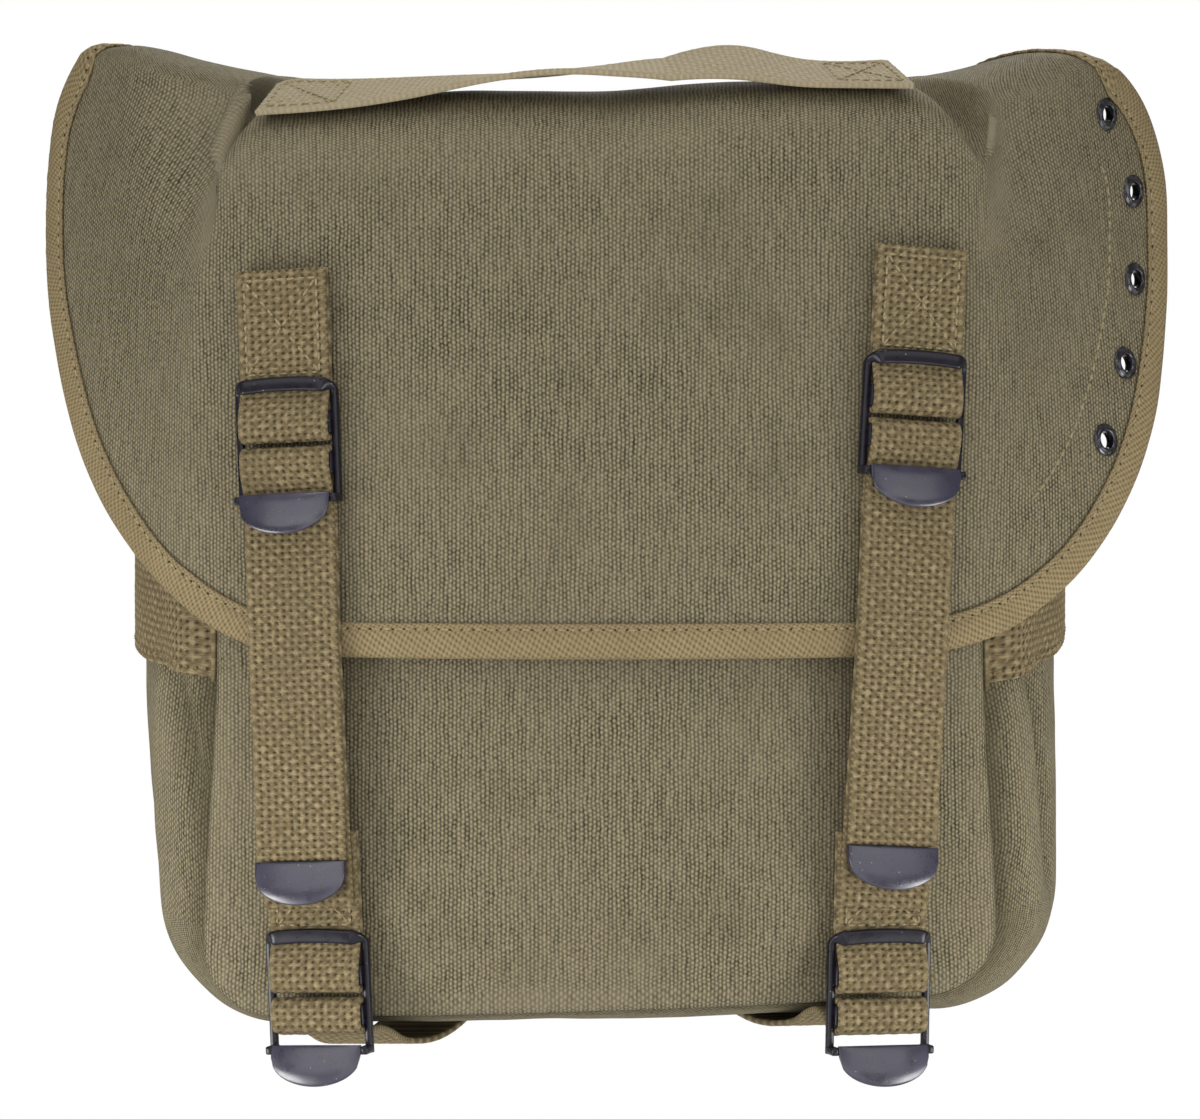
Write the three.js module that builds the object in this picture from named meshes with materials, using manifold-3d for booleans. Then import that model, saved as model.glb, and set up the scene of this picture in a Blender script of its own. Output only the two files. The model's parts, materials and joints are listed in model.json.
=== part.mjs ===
// A military-style canvas belt bag: a stuffed body of three sewn panels, a flap with flared wings,
// two closing straps with ladder buckles, two lower buckles with slings under the bag, a carrying
// handle, side webs and belt loops. Millimetres, +Z up, the front faces -Y. Heights in this file are
// measured from the foot of the bag, and the whole is lowered so that the origin lies on the back
// panel at the middle of the belt.
import * as THREE from 'three';
import { mergeVertices } from 'three/addons/utils/BufferGeometryUtils.js';
import Module from 'manifold-3d';

const wasm = await Module();
wasm.setup();

// Cloth
const CANVAS = 1.5; // wall of the heavy cotton duck
const GAP = 0.3; // clearance between neighbouring pieces
const WEB = { width: 25, thick: 1.8 }; // cotton webbing of straps, tabs, handle and loops

// Body: outline of the front and back panels, how far the stuffed front and sides stand out
const BELT_HEIGHT = 172;
const FRONT = { half: 104, flare: 4, foot: 0, corner: 21, mouth: 221, seamY: -92 };
const BACK = { half: 120, flare: 0, foot: 4, corner: 34, mouth: 238 };
const CROWN = { out: 26, power: 2.2, footShare: 0.45, footRound: 28, topLoss: 0.3, fullAt: 90 };
const FOOT_TILT = 0.032; // the foot hangs lower on the left than on the right
const PUFF = { side: 14, foot: 8, mouthShare: 0.55, lowLeft: 0.5, lowRight: 0.95 };
// Folds of the side walls: where they lie between front seam (0) and back seam (1), and their depth
const SIDE_FOLDS = [
  { side: -1, at: 0.16, width: 0.1, depth: 5, low: 14, high: 96 },
  { side: -1, at: 0.42, width: 0.12, depth: -3, low: 40, high: 110 },
  { side: 1, at: 0.14, width: 0.1, depth: 6, low: 10, high: 100 },
  { side: 1, at: 0.5, width: 0.16, depth: 1, low: 30, high: 90 },
];

// Flap: hem height, fold over the front edge of the top, lap on the back, and its two wings
const FLAP = {
  thick: 1.4, standoff: 4.3, hem: 97, hemHalf: 75, fold: 231, foldLift: 95, earLift: 40, topSag: 3,
  seamHalf: 118, seamY: -4, seamZ: 246, seamRise: 10, lapRound: 6, lapEnd: 216,
};
// Wings, seen from the front: crease beside the body, half width, round lower corner and round ear
const WINGS = {
  left: {
    side: -1, crease: 108, creaseLow: 112, bend: 6, angleHigh: 54, angleLow: 42,
    half: 154.3, widest: 215, power: 2.05,
    earX: 128, earZ: 215, earHeight: 49.5, earPower: 2.3, ear: 26, roll: 12, dip: 5, dipAt: 107, dipWidth: 8,
    brow: -3.5, browFrom: 30, browTo: 95, lean: 8,
  },
  right: {
    side: 1, crease: 99, creaseLow: 105, bend: 28, angleHigh: 46, angleLow: 34,
    half: 157, widest: 205, power: 2.3,
    earX: 110, earZ: 210, earHeight: 52.5, earPower: 2.5, ear: 23, roll: 22, dip: 7, dipAt: 104, dipWidth: 7,
    brow: 3.5, browFrom: 0, browTo: 40, lean: 4,
  },
};
const BINDING = { reach: 7.5, thick: 1 };
const EYELETS = {
  count: 5, pitch: 23.9, inset: 13.7, topInset: 12.7, lowest: 145.5,
  hole: 2.4, barrel: 0.5, flange: 4.5, plate: 0.7,
};

// Ladder buckle, sizes along its length from the top bar's upper edge
const BUCKLE = {
  inner: 25.8, rail: 1.7, railLow: -1.6, railHigh: 2.7, railEnd: 32.5,
  topBar: 3.8, topLow: 0.75, topHigh: 3.0,
  barOne: [9, 14.6], barTwo: [19.6, 25.2], barHalf: 1.2,
  crossBar: [30.4, 32.6], crossLow: 1.9, crossHigh: 3.1,
  lip: 10.6, lipSquare: 3.4, lipTilt: 14, lipThick: 1.4,
};
const STANDOFF = 3.9; // from the cloth to the middle of a buckle's bars
const TIP = { length: 11.7, square: 4, wall: 0.8, grip: 7 };

// The straps: height and place of their parts on each side
const STRAPS = {
  left: {
    side: -1, topX: -83, topZ: 200, hemX: -79, yaw: 18, bar: 169, tab: 29, tipEnd: 31,
    lowX: -74, lowRoll: 2.5, sag: 2.5,
  },
  right: {
    side: 1, topX: 84, topZ: 206, hemX: 78, yaw: 18, bar: 176, tab: 28, tipEnd: 35,
    lowX: 73, lowRoll: 1, sag: 0,
  },
};
const LOW_BAR = 24; // height of the lower buckles' top edge
const LOW_TAB = 26;
const ANCHOR = { low: 30, high: 50 };

const HANDLE = {
  row: 1.26, from: -0.555, to: 0.535, pad: 0.13, seat: 0.35, lift: 6.2, dropped: -6, raised: 9,
};
const SIDE_WEB = {
  left: { side: -1, high: 138, front: 88, back: 91 },
  right: { side: 1, high: 138, front: 86, back: 97 },
};
const BELT_LOOP = { x: 75, pad: 12, clear: 60, depth: 6 };

const { vec3, lerp, ease } = {
  vec3: (x, y, z) => new THREE.Vector3(x, y, z),
  lerp: THREE.MathUtils.lerp,
  ease: (low, high, x) => THREE.MathUtils.smoothstep(x, low, high),
};
const rad = THREE.MathUtils.degToRad;
const bell = (x, middle, width) => Math.exp(-(((x - middle) / width) ** 2));

// Materials, from the photographed finish
const MATERIALS = {
  canvas: new THREE.MeshStandardMaterial({ color: 0x78705a, roughness: 0.95, metalness: 0 }),
  webbing: new THREE.MeshStandardMaterial({ color: 0x7d7054, roughness: 0.95, metalness: 0 }),
  binding: new THREE.MeshStandardMaterial({ color: 0x8b7c62, roughness: 0.95, metalness: 0 }),
  steel: new THREE.MeshStandardMaterial({ color: 0x2b2a30, roughness: 0.45, metalness: 0.6 }),
};

const bag = new THREE.Group();
bag.position.z = -BELT_HEIGHT;

function addPiece(name, geometry, material, parent = bag) {
  const mesh = new THREE.Mesh(geometry, MATERIALS[material]);
  mesh.name = name;
  parent.add(mesh);
  return mesh;
}

// Solids

// A grid of points on a cloth's outer face, with normals (along i) x (along j).
function cloth(surface, across, along) {
  const points = [];
  for (let i = 0; i <= across; i++) {
    for (let j = 0; j <= along; j++) points.push(surface(i, j));
  }
  const at = (i, j) => i * (along + 1) + j;
  const clip = (k, most) => Math.min(Math.max(k, 0), most);
  const normals = points.map((point, k) => {
    const [i, j] = [Math.floor(k / (along + 1)), k % (along + 1)];
    const du = points[at(clip(i + 1, across), j)].clone().sub(points[at(clip(i - 1, across), j)]);
    const dv = points[at(i, clip(j + 1, along))].clone().sub(points[at(i, clip(j - 1, along))]);
    return du.cross(dv).normalize();
  });
  const rim = [];
  for (let i = 0; i < across; i++) rim.push(at(i, 0));
  for (let j = 0; j < along; j++) rim.push(at(across, j));
  for (let i = across; i > 0; i--) rim.push(at(i, along));
  for (let j = along; j > 0; j--) rim.push(at(0, j));
  return { points, normals, rim, at, across, along };
}

// The solid between two offsets of that grid, over the cells that are kept, with the grid's edge let
// out by a margin.
function layer(grid, above, below, margin = 0, kept = () => true) {
  const { points, normals, rim, at, across, along } = grid;
  const base = points.map((point) => point.clone());
  rim.forEach((k, m) => {
    const before = points[rim[(m + rim.length - 1) % rim.length]];
    const after = points[rim[(m + 1) % rim.length]];
    const outwards = after.clone().sub(before).cross(normals[k]).normalize();
    base[k].addScaledVector(outwards, margin);
  });
  const sheet = (offset) => base.map((point, k) => point.clone().addScaledVector(normals[k], offset));
  const has = (i, j) => i >= 0 && j >= 0 && i < across && j < along && kept(i, j);
  const faces = [];
  const quad = (a, b, c, d) => faces.push(a, b, c, a, c, d);
  const under = points.length;
  for (let i = 0; i < across; i++) {
    for (let j = 0; j < along; j++) {
      if (!has(i, j)) continue;
      const [a, b, c, d] = [at(i, j), at(i + 1, j), at(i + 1, j + 1), at(i, j + 1)];
      quad(a, b, c, d);
      quad(under + d, under + c, under + b, under + a);
      const sides = [[a, b, i, j - 1], [b, c, i + 1, j], [c, d, i, j + 1], [d, a, i - 1, j]];
      sides.filter(([, , m, n]) => !has(m, n)).forEach(([p, q]) => quad(q, p, under + p, under + q));
    }
  }
  return meshOf([...sheet(above), ...sheet(below)], faces);
}

function wall(surface, across, along, thickness) {
  return layer(cloth(surface, across, along), 0, -thickness);
}

function meshOf(points, faces) {
  const geometry = new THREE.BufferGeometry().setFromPoints(points);
  geometry.setIndex(faces);
  return geometry;
}

function solidOf(geometry) {
  const bare = new THREE.BufferGeometry();
  bare.setAttribute('position', geometry.getAttribute('position'));
  if (geometry.index) bare.setIndex(geometry.index);
  const merged = mergeVertices(bare, 1e-4);
  return new wasm.Manifold(new wasm.Mesh({
    numProp: 3,
    vertProperties: new Float32Array(merged.attributes.position.array),
    triVerts: new Uint32Array(merged.index.array),
  }));
}

function geometryOf(solid) {
  const mesh = solid.getMesh();
  const geometry = new THREE.BufferGeometry();
  geometry.setAttribute('position', new THREE.BufferAttribute(mesh.vertProperties.slice(), 3));
  geometry.setIndex(new THREE.BufferAttribute(mesh.triVerts.slice(), 1));
  return geometry;
}

// A profile drawn in (outwards, upwards), extruded across the width, centred on it.
function acrossWidth(shape, width, offset = 0) {
  const geometry = new THREE.ExtrudeGeometry(shape, { depth: width, bevelEnabled: false });
  return geometry.translate(0, 0, offset - width / 2);
}

// A web of even thickness along a path of (outwards, upwards) points.
function ribbon(path, width = WEB.width, thickness = WEB.thick) {
  const sides = [[], []];
  path.forEach((point, k) => {
    const before = path[Math.max(k - 1, 0)];
    const after = path[Math.min(k + 1, path.length - 1)];
    const one = point.clone().sub(before).normalize();
    const two = after.clone().sub(point).normalize();
    const along = one.clone().add(two).normalize();
    const normal = new THREE.Vector2(-along.y, along.x);
    const leg = one.lengthSq() > 0 ? one : two;
    const spread = thickness / 2 / Math.max(0.5, Math.abs(leg.x * along.x + leg.y * along.y));
    sides[0].push(point.clone().addScaledVector(normal, spread));
    sides[1].push(point.clone().addScaledVector(normal, -spread));
  });
  return acrossWidth(new THREE.Shape([...sides[0], ...sides[1].reverse()]), width);
}

const flat = (outwards, upwards) => new THREE.Vector2(outwards, upwards);

function arc(middle, radius, from, to, steps) {
  const points = [];
  for (let k = 0; k <= steps; k++) {
    const a = rad(lerp(from, to, k / steps));
    points.push(flat(middle.x + radius * Math.cos(a), middle.y + radius * Math.sin(a)));
  }
  return points;
}

function roundedBox(low, high, radius) {
  const corners = [
    [high.x - radius, high.y - radius, 0], [low.x + radius, high.y - radius, 90],
    [low.x + radius, low.y + radius, 180], [high.x - radius, low.y + radius, 270],
  ];
  return new THREE.Shape(corners.flatMap(([x, y, a]) => arc(flat(x, y), radius, a, a + 90, 2)));
}

// Body

// Half width of a panel at a height, with its round lower corners.
function panelHalf(panel, z) {
  const side = panel.half + panel.flare * (1 - ease(10, 100, z));
  const below = Math.max(0, panel.foot + panel.corner - z);
  return side - panel.corner + Math.sqrt(Math.max(0, panel.corner ** 2 - below ** 2));
}

// The front panel's outer face: a crown that stands out in the middle and dies at the seams.
function frontY(x, z) {
  const level = Math.min(z, FRONT.mouth);
  const up = Math.min(1, Math.max(0, level - FRONT.foot) / CROWN.footRound);
  const foot = CROWN.footShare + (1 - CROWN.footShare) * (1 - (1 - up) ** 2);
  const past = Math.max(0, level - CROWN.fullAt) / (FRONT.mouth - CROWN.fullAt);
  const share = 1 - (Math.abs(x) / panelHalf(FRONT, level)) ** CROWN.power;
  return FRONT.seamY - CANVAS - CROWN.out * share * foot * (1 - CROWN.topLoss * past ** 1.5);
}

// How far the foot is let down or drawn up at a place.
const tilted = (x, z) => FOOT_TILT * x * (1 - ease(0, 70, z));

// Height of row j: close rows round the lower corners, even rows above.
function rowHeight(panel, j, rows, cornerRows) {
  if (j <= cornerRows) return panel.foot + panel.corner * (1 - Math.cos((j / cornerRows) * Math.PI / 2));
  return lerp(panel.foot + panel.corner, panel.mouth, (j - cornerRows) / (rows - cornerRows));
}

function frontPanel() {
  const [columns, rows, cornerRows] = [14, 11, 4];
  return wall((i, j) => {
    const z = rowHeight(FRONT, j, rows, cornerRows);
    const x = panelHalf(FRONT, z) * (2 * i / columns - 1);
    return vec3(x, frontY(x, z), z + tilted(x, z));
  }, columns, rows, CANVAS);
}

function backPanel() {
  const [columns, rows, cornerRows] = [6, 9, 4];
  return wall((i, j) => {
    const z = rowHeight(BACK, j, rows, cornerRows);
    return vec3(panelHalf(BACK, z) * (1 - 2 * i / columns), 0, z);
  }, columns, rows, CANVAS);
}

// A panel's outline from one side of the mouth (0) round the foot to the other (1), with its normal.
function outline(panel, t) {
  const [footShare, cornerShare] = [0.22, 0.5];
  const side = t < 0.5 ? -1 : 1;
  const h = Math.abs(2 * t - 1);
  const straight = panel.half + panel.flare - panel.corner;
  if (h < footShare) return { x: side * straight * h / footShare, z: panel.foot, out: vec3(0, 0, -1) };
  const turn = Math.min(1, (h - footShare) / (cornerShare - footShare)) * Math.PI / 2;
  const climb = Math.max(0, (h - cornerShare) / (1 - cornerShare));
  const shoulder = panel.foot + panel.corner;
  const z = shoulder - panel.corner * Math.cos(turn) + climb * (FRONT.mouth - shoulder);
  return { x: side * panelHalf(panel, z), z, out: vec3(side * Math.sin(turn), 0, -Math.cos(turn)) };
}

// The side and bottom wall's outer face: t round the outline, w from the front seam to the back seam.
function gussetPoint(t, w) {
  const front = outline(FRONT, t);
  const back = outline(BACK, t);
  const level = lerp(front.z, back.z, w);
  const upright = Math.abs(front.out.x);
  const low = lerp(front.x < 0 ? PUFF.lowLeft : PUFF.lowRight, 1, ease(10, 90, level));
  const high = lerp(1, PUFF.mouthShare, ease(120, FRONT.mouth, level));
  const swell = lerp(PUFF.foot, PUFF.side * low * high, upright) * Math.sin(Math.PI * w ** 0.85);
  const folds = SIDE_FOLDS.filter((fold) => fold.side === Math.sign(front.x)).reduce((sum, fold) => {
    const begins = ease(fold.low - 14, fold.low + 14, level);
    const ends = 1 - ease(fold.high - 20, fold.high + 20, level);
    return sum + fold.depth * begins * ends * bell(w, fold.at, fold.width) * Math.sin(Math.PI * w);
  }, 0);
  const y = lerp(frontY(front.x, front.z) + CANVAS + GAP, -CANVAS - GAP, w);
  const lowered = level + tilted(front.x, front.z) * (1 - w);
  return vec3(lerp(front.x, back.x, w), y, lowered).addScaledVector(front.out, swell - upright * folds);
}

function gusset() {
  const [steps, strips] = [36, 8];
  return wall((i, j) => gussetPoint(j / steps, i / strips), strips, steps, CANVAS);
}

// Flap

const wingOf = (q) => (q < 0 ? WINGS.left : WINGS.right);

// A wing's half width at a height: a round lower corner, and a round ear above.
function wingHalf(wing, z) {
  if (z > wing.earZ) {
    const up = Math.min(1, (z - wing.earZ) / wing.earHeight);
    return wing.earX + (wing.half - wing.earX) * (1 - up ** wing.earPower) ** (1 / wing.earPower);
  }
  const down = Math.min(1, Math.max(0, (wing.widest - z) / (wing.widest - FLAP.hem)));
  return FLAP.hemHalf + (wing.half - FLAP.hemHalf) * (1 - down ** wing.power) ** (1 / wing.power);
}

// How the hanging cloth turns back at the crease: where, its slope before and after, and the arc.
function wingTurn(wing, z) {
  const face = (x) => frontY(x, z) - FLAP.standoff;
  const crease = lerp(wing.creaseLow, wing.crease, ease(120, 190, z));
  const start = Math.atan(face(crease + 0.5) - face(crease - 0.5));
  const end = Math.max(start, rad(lerp(wing.angleLow, wing.angleHigh, ease(100, 210, z))));
  return { crease, start, end, length: wing.bend * (end - start), y: face(crease) };
}

// How far across the cloth its edge lies at a height.
function wingReach(wing, z) {
  const { crease, start, end, length } = wingTurn(wing, z);
  const out = wingHalf(wing, z) - crease;
  if (out <= 0) return crease + out;
  const arcX = wing.bend * (Math.sin(end) - Math.sin(start));
  if (out >= arcX) return crease + length + (out - arcX) / Math.cos(end);
  return crease + wing.bend * (Math.asin(Math.sin(start) + out / wing.bend) - start);
}

// The flap's outer face where it hangs down: q runs across the cloth, and bends back at the crease.
function flapFront(q, z) {
  const wing = wingOf(q);
  const { crease, start, end, length, y } = wingTurn(wing, z);
  const along = Math.abs(q) - crease;
  if (along <= 0) return vec3(q, frontY(q, z) - FLAP.standoff, z);
  const turned = start + Math.min(along, length) / wing.bend;
  const arcX = wing.bend * (Math.sin(turned) - Math.sin(start));
  const arcY = wing.bend * (Math.cos(start) - Math.cos(turned));
  const rest = Math.max(0, along - length);
  const x = crease + arcX + rest * Math.cos(end);
  return vec3(wing.side * x, y + arcY + rest * Math.sin(end), z);
}

// How much the fold over the top slopes towards the ear, dips beside it and rises in it.
function foldRise(q) {
  const wing = wingOf(q);
  const across = Math.abs(q);
  const past = across - wing.dipAt;
  const rise = wing.ear * (0.62 * ease(0, 11, past) + 0.38 * ease(6, 44, past));
  const brow = wing.brow * ease(wing.browFrom, wing.browTo, across) * (1 - ease(-6, 8, past));
  return rise + brow - wing.dip * bell(across, wing.dipAt, wing.dipWidth);
}

// The flap's outer face: s from the left edge (-1) to the right (1); t from the hem (0) to the fold
// over the top (1), the seam on the back (2) and the end of the lap below it (3).
function flapPoint(s, t) {
  const wing = s < 0 ? WINGS.left : WINGS.right;
  const level = lerp(FLAP.hem, FLAP.fold, Math.min(1, t));
  const lifted = ease(0.5, 1, Math.min(1, t));
  const q = s * wingReach(wing, level + wing.ear * lifted);
  const front = flapFront(q, level + foldRise(q) * lifted);
  front.x -= wing.side * wing.lean * bell(Math.abs(q) - wing.dipAt, 12, 10) * ease(0.7, 1, t);
  if (t <= 1) return front;
  const corner = bell(Math.abs(s), 0.8, 0.3);
  const seam = vec3(FLAP.seamHalf * s, FLAP.seamY, FLAP.seamZ + FLAP.seamRise * corner);
  if (t <= 2) {
    const u = t - 1;
    const span = front.distanceTo(seam);
    const sag = FLAP.topSag * Math.sin(Math.PI * u) * (1 - s * s);
    const point = front.clone().multiplyScalar((1 + 2 * u) * (1 - u) ** 2);
    point.addScaledVector(seam, u * u * (3 - 2 * u));
    const lift = lerp(FLAP.foldLift, FLAP.earLift, ease(0.6, 0.8, Math.abs(s)));
    point.z += lift * u * (1 - u) ** 2 - sag;
    point.y += span * u * u * (u - 1);
    point.x -= wing.side * wing.roll * s ** 4 * 4 * u * (1 - u);
    return point;
  }
  const turn = Math.min(1, (t - 2) / 0.6) * Math.PI / 2;
  const drop = Math.max(0, (t - 2.6) / 0.4);
  const round = FLAP.lapRound;
  const low = seam.z - round * (1 - Math.cos(turn));
  return vec3(seam.x, seam.y + round * Math.sin(turn), lerp(low, FLAP.lapEnd, drop));
}

// The first column and row inside the edge are as far in as the binding reaches; the rest close up
// over the crease and the ear, and round the lower corners.
const FLAP_GRID = { half: 14, front: 12, top: 6, lap: 3 };
function flapRow(j) {
  const { front, top, lap } = FLAP_GRID;
  const first = BINDING.reach / (FLAP.fold - FLAP.hem);
  if (j === 0) return 0;
  const up = (j - 1) / (front - 1);
  if (j <= front) return lerp(first, 1, up - 0.3 * Math.sin(2 * Math.PI * up) / (2 * Math.PI));
  return j <= front + top ? 1 + ((j - front) / top) ** 1.4 : 2 + (j - front - top) / lap;
}
function flapColumn(i, t) {
  const k = i / FLAP_GRID.half - 1;
  const wing = k < 0 ? WINGS.left : WINGS.right;
  const level = lerp(FLAP.hem, FLAP.fold, Math.min(1, t)) + wing.ear * ease(0.5, 1, Math.min(1, t));
  const slope = (wingReach(wing, level + 3) - wingReach(wing, level)) / 3;
  const reach = lerp(wingReach(wing, level), FLAP.seamHalf, Math.min(1, Math.max(0, t - 1)));
  const inside = 1 - BINDING.reach * Math.hypot(1, Math.min(1.6, Math.abs(slope))) / reach;
  if (i === 0 || i === 2 * FLAP_GRID.half) return k;
  const across = Math.abs(k) / (1 - 1 / FLAP_GRID.half);
  return Math.sign(k) * inside * (across + 0.35 * Math.sin(2 * Math.PI * across) / (2 * Math.PI)) ** 0.9;
}

// Eyelets stand at an even pitch along a line inside the right wing's edge.
function eyeletSeats() {
  const wing = WINGS.right;
  const inside = (z) => {
    const slope = (wingReach(wing, z + 1) - wingReach(wing, z - 1)) / 2;
    const size = Math.hypot(1, slope);
    const inset = lerp(EYELETS.inset, EYELETS.topInset, ease(225, 250, z));
    return flat(wingReach(wing, z) - inset / size, z + inset * slope / size);
  };
  const seats = [];
  let last = null;
  for (let z = EYELETS.lowest; seats.length < EYELETS.count; z += 0.25) {
    const place = inside(z);
    if (!last || place.distanceTo(last) >= EYELETS.pitch) {
      last = place;
      const d = 0.5;
      const across = flapFront(place.x + d, place.y).sub(flapFront(place.x - d, place.y));
      const along = flapFront(place.x, place.y + d).sub(flapFront(place.x, place.y - d));
      seats.push({ point: flapFront(place.x, place.y), normal: across.cross(along).normalize() });
    }
  }
  return seats;
}

function placedOn(geometry, seat) {
  const turn = new THREE.Quaternion().setFromUnitVectors(vec3(0, 1, 0), seat.normal);
  return geometry.applyQuaternion(turn).translate(seat.point.x, seat.point.y, seat.point.z);
}

function flapCloth() {
  const columns = 2 * FLAP_GRID.half;
  const rows = FLAP_GRID.front + FLAP_GRID.top + FLAP_GRID.lap;
  return cloth((i, j) => flapPoint(flapColumn(i, flapRow(j)), flapRow(j)), columns, rows);
}

function flap(grid, seats) {
  const radius = EYELETS.hole + EYELETS.barrel + GAP;
  return geometryOf(seats.reduce((solid, seat) => {
    const punch = new THREE.CylinderGeometry(radius, radius, 12, 10);
    return solid.subtract(solidOf(placedOn(punch, seat)));
  }, solidOf(layer(grid, 0, -FLAP.thick))));
}

// A rolled eyelet: a barrel through the cloth with a flange on either face.
function eyelet(seat) {
  const { hole, barrel, flange, plate } = EYELETS;
  const out = GAP;
  const back = -FLAP.thick - GAP;
  const profile = [
    [hole, back - plate], [flange, back - plate], [flange, back], [hole + barrel, back],
    [hole + barrel, out], [flange, out], [flange - 0.6, out + plate], [hole, out + plate],
    [hole, back - plate],
  ];
  return placedOn(new THREE.LatheGeometry(profile.map(([r, h]) => flat(r, h)), 10), seat);
}

// A folded tape round the flap's edge, from the back seam down one wing, along the hem and up the other.
function binding(grid) {
  const over = GAP + BINDING.thick;
  const last = FLAP_GRID.front + FLAP_GRID.top - 1;
  const onEdge = (i, j) => j === 0 || (j < last && (i === 0 || i === grid.across - 1));
  const tape = solidOf(layer(grid, over, -FLAP.thick - over, over, onEdge));
  return geometryOf(tape.subtract(solidOf(layer(grid, GAP, -FLAP.thick - GAP, GAP))));
}

// Hardware and webs, drawn as (outwards, upwards) profiles in a frame that stands on the cloth

// The frame of a strap: its origin lies STANDOFF above the highest cloth under the given patch.
function strapFrame(middle, up, yaw, patch) {
  const outwards = vec3(Math.sin(rad(yaw)), -Math.cos(rad(yaw)), 0);
  outwards.addScaledVector(up, -outwards.dot(up)).normalize();
  const across = outwards.clone().cross(up);
  const frame = new THREE.Group();
  const turn = new THREE.Matrix4().makeBasis(outwards, up, across);
  frame.quaternion.setFromRotationMatrix(turn);
  const highest = Math.max(...patch.map((point) => point.clone().sub(middle).dot(outwards)));
  frame.position.copy(middle).addScaledVector(outwards, highest + STANDOFF);
  frame.updateMatrix();
  bag.add(frame);
  return frame;
}

const inFrame = (frame, point) => point.clone().applyMatrix4(frame.matrix.clone().invert());

// Points of the cloth under a web between two heights.
function under(surface, x, low, high) {
  const points = [];
  for (let k = 0; k <= 8; k++) {
    for (let m = -2; m <= 2; m++) {
      const z = lerp(low, high, k / 8);
      points.push(surface(x(z) + m * 7.5, z));
    }
  }
  return points;
}
const onFront = (x, z) => vec3(x, frontY(x, z), z);

// Half a turn of web round one end of a buckle bar: over its upper end or under its lower end.
function roundBar(bar, end, from, to) {
  const radius = BUCKLE.barHalf + GAP + WEB.thick / 2;
  const level = end === 'upper' ? -bar[0] - BUCKLE.barHalf : -bar[1] + BUCKLE.barHalf;
  return arc(flat(0, level), radius, from, to, 6);
}

// A stamped ladder buckle: two rails, a top bar, two web bars, a cross bar and a rounded lip.
function buckle() {
  const b = BUCKLE;
  const width = b.inner + 2 * b.rail;
  const bar = (low, high, from, to, round) => solidOf(acrossWidth(
    roundedBox(flat(low, -to), flat(high, -from), round), width,
  ));
  const railFace = roundedBox(flat(b.railLow, -b.railEnd), flat(b.railHigh, -0.4), 1.2);
  const rails = [-1, 1].map((side) => solidOf(acrossWidth(railFace, b.rail, side * (b.inner + b.rail) / 2)));
  const half = b.inner / 2 - 0.2;
  const face = new THREE.Shape();
  face.moveTo(-half, 0);
  face.lineTo(-half, -b.lipSquare);
  face.absellipse(0, -b.lipSquare, half, b.lip - b.lipSquare, Math.PI, 2 * Math.PI, false);
  face.lineTo(half, 0);
  const stamped = { depth: b.lipThick, bevelEnabled: false, curveSegments: 6 };
  const plate = new THREE.ExtrudeGeometry(face, stamped);
  plate.rotateY(Math.PI / 2).rotateZ(rad(b.lipTilt)).translate(b.crossLow, -b.crossBar[0] - 0.5, 0);
  const parts = [
    bar(b.topLow, b.topHigh, 0, b.topBar, 0.9), bar(-b.barHalf, b.barHalf, ...b.barOne, 1),
    bar(-b.barHalf, b.barHalf, ...b.barTwo, 1),
    bar(b.crossLow - 0.4, b.crossHigh, ...b.crossBar, 0.6),
    ...rails, solidOf(plate),
  ];
  return geometryOf(parts.reduce((sum, part) => sum.add(part)));
}

// A folded tab: both layers lie on the cloth above the buckle and turn round its first bar.
function tab(length) {
  const back = -BUCKLE.barHalf - GAP - WEB.thick / 2;
  const front = back + WEB.thick + 0.2;
  return ribbon([
    flat(back, length), flat(back, -BUCKLE.barOne[1] + BUCKLE.barHalf + 0.8),
    ...roundBar(BUCKLE.barOne, 'lower', 180, 360),
    flat(-back, -BUCKLE.barOne[0] - 1), flat(front + 1, -5.6), flat(front, -3.4), flat(front, length),
  ]);
}

// A closing strap: from its anchor up behind the buckle, over the second bar and down in front to its
// metal tip, which lies clear of the layer behind it.
function closingStrap(load, tipTop) {
  const back = -BUCKLE.barHalf - GAP - WEB.thick / 2;
  const layers = WEB.thick + 0.4;
  const free = load.slice().reverse().filter((point) => point.y > tipTop + 9);
  const tipX = Math.max(load[0].x, load[1].x) + WEB.thick + TIP.wall + 3 * GAP;
  return [
    ...load, flat(back, -BUCKLE.barTwo[1] + 1),
    ...roundBar(BUCKLE.barTwo, 'upper', 180, 0),
    flat(-back, -BUCKLE.barTwo[1] + 1.6), flat(1.1, -BUCKLE.barTwo[1] - 2.4),
    flat(0.4, -BUCKLE.crossBar[0] + 1.2), flat(0.1, -BUCKLE.crossBar[1] - 1),
    ...free.map((point) => flat(point.x + layers, point.y)),
    flat(tipX, tipTop + 2), flat(tipX, tipTop - TIP.grip),
  ];
}

// A crimped metal end: a rounded plate folded over the end of the web.
function strapTip() {
  const half = WEB.width / 2 + 0.2;
  const face = new THREE.Shape();
  face.moveTo(-half, 0);
  face.lineTo(-half, -TIP.square);
  face.absellipse(0, -TIP.square, half, TIP.length - TIP.square, Math.PI, 2 * Math.PI, false);
  face.lineTo(half, 0);
  const depth = WEB.thick + 2 * (GAP + TIP.wall);
  const plate = new THREE.ExtrudeGeometry(face, { depth, bevelEnabled: false, curveSegments: 6 });
  plate.rotateY(Math.PI / 2).translate(-depth / 2, 0, 0);
  const slot = new THREE.BoxGeometry(WEB.thick + 2 * GAP, 2 * (TIP.grip + GAP), 60);
  const bite = solidOf(slot);
  return geometryOf(solidOf(plate).subtract(bite));
}

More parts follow.
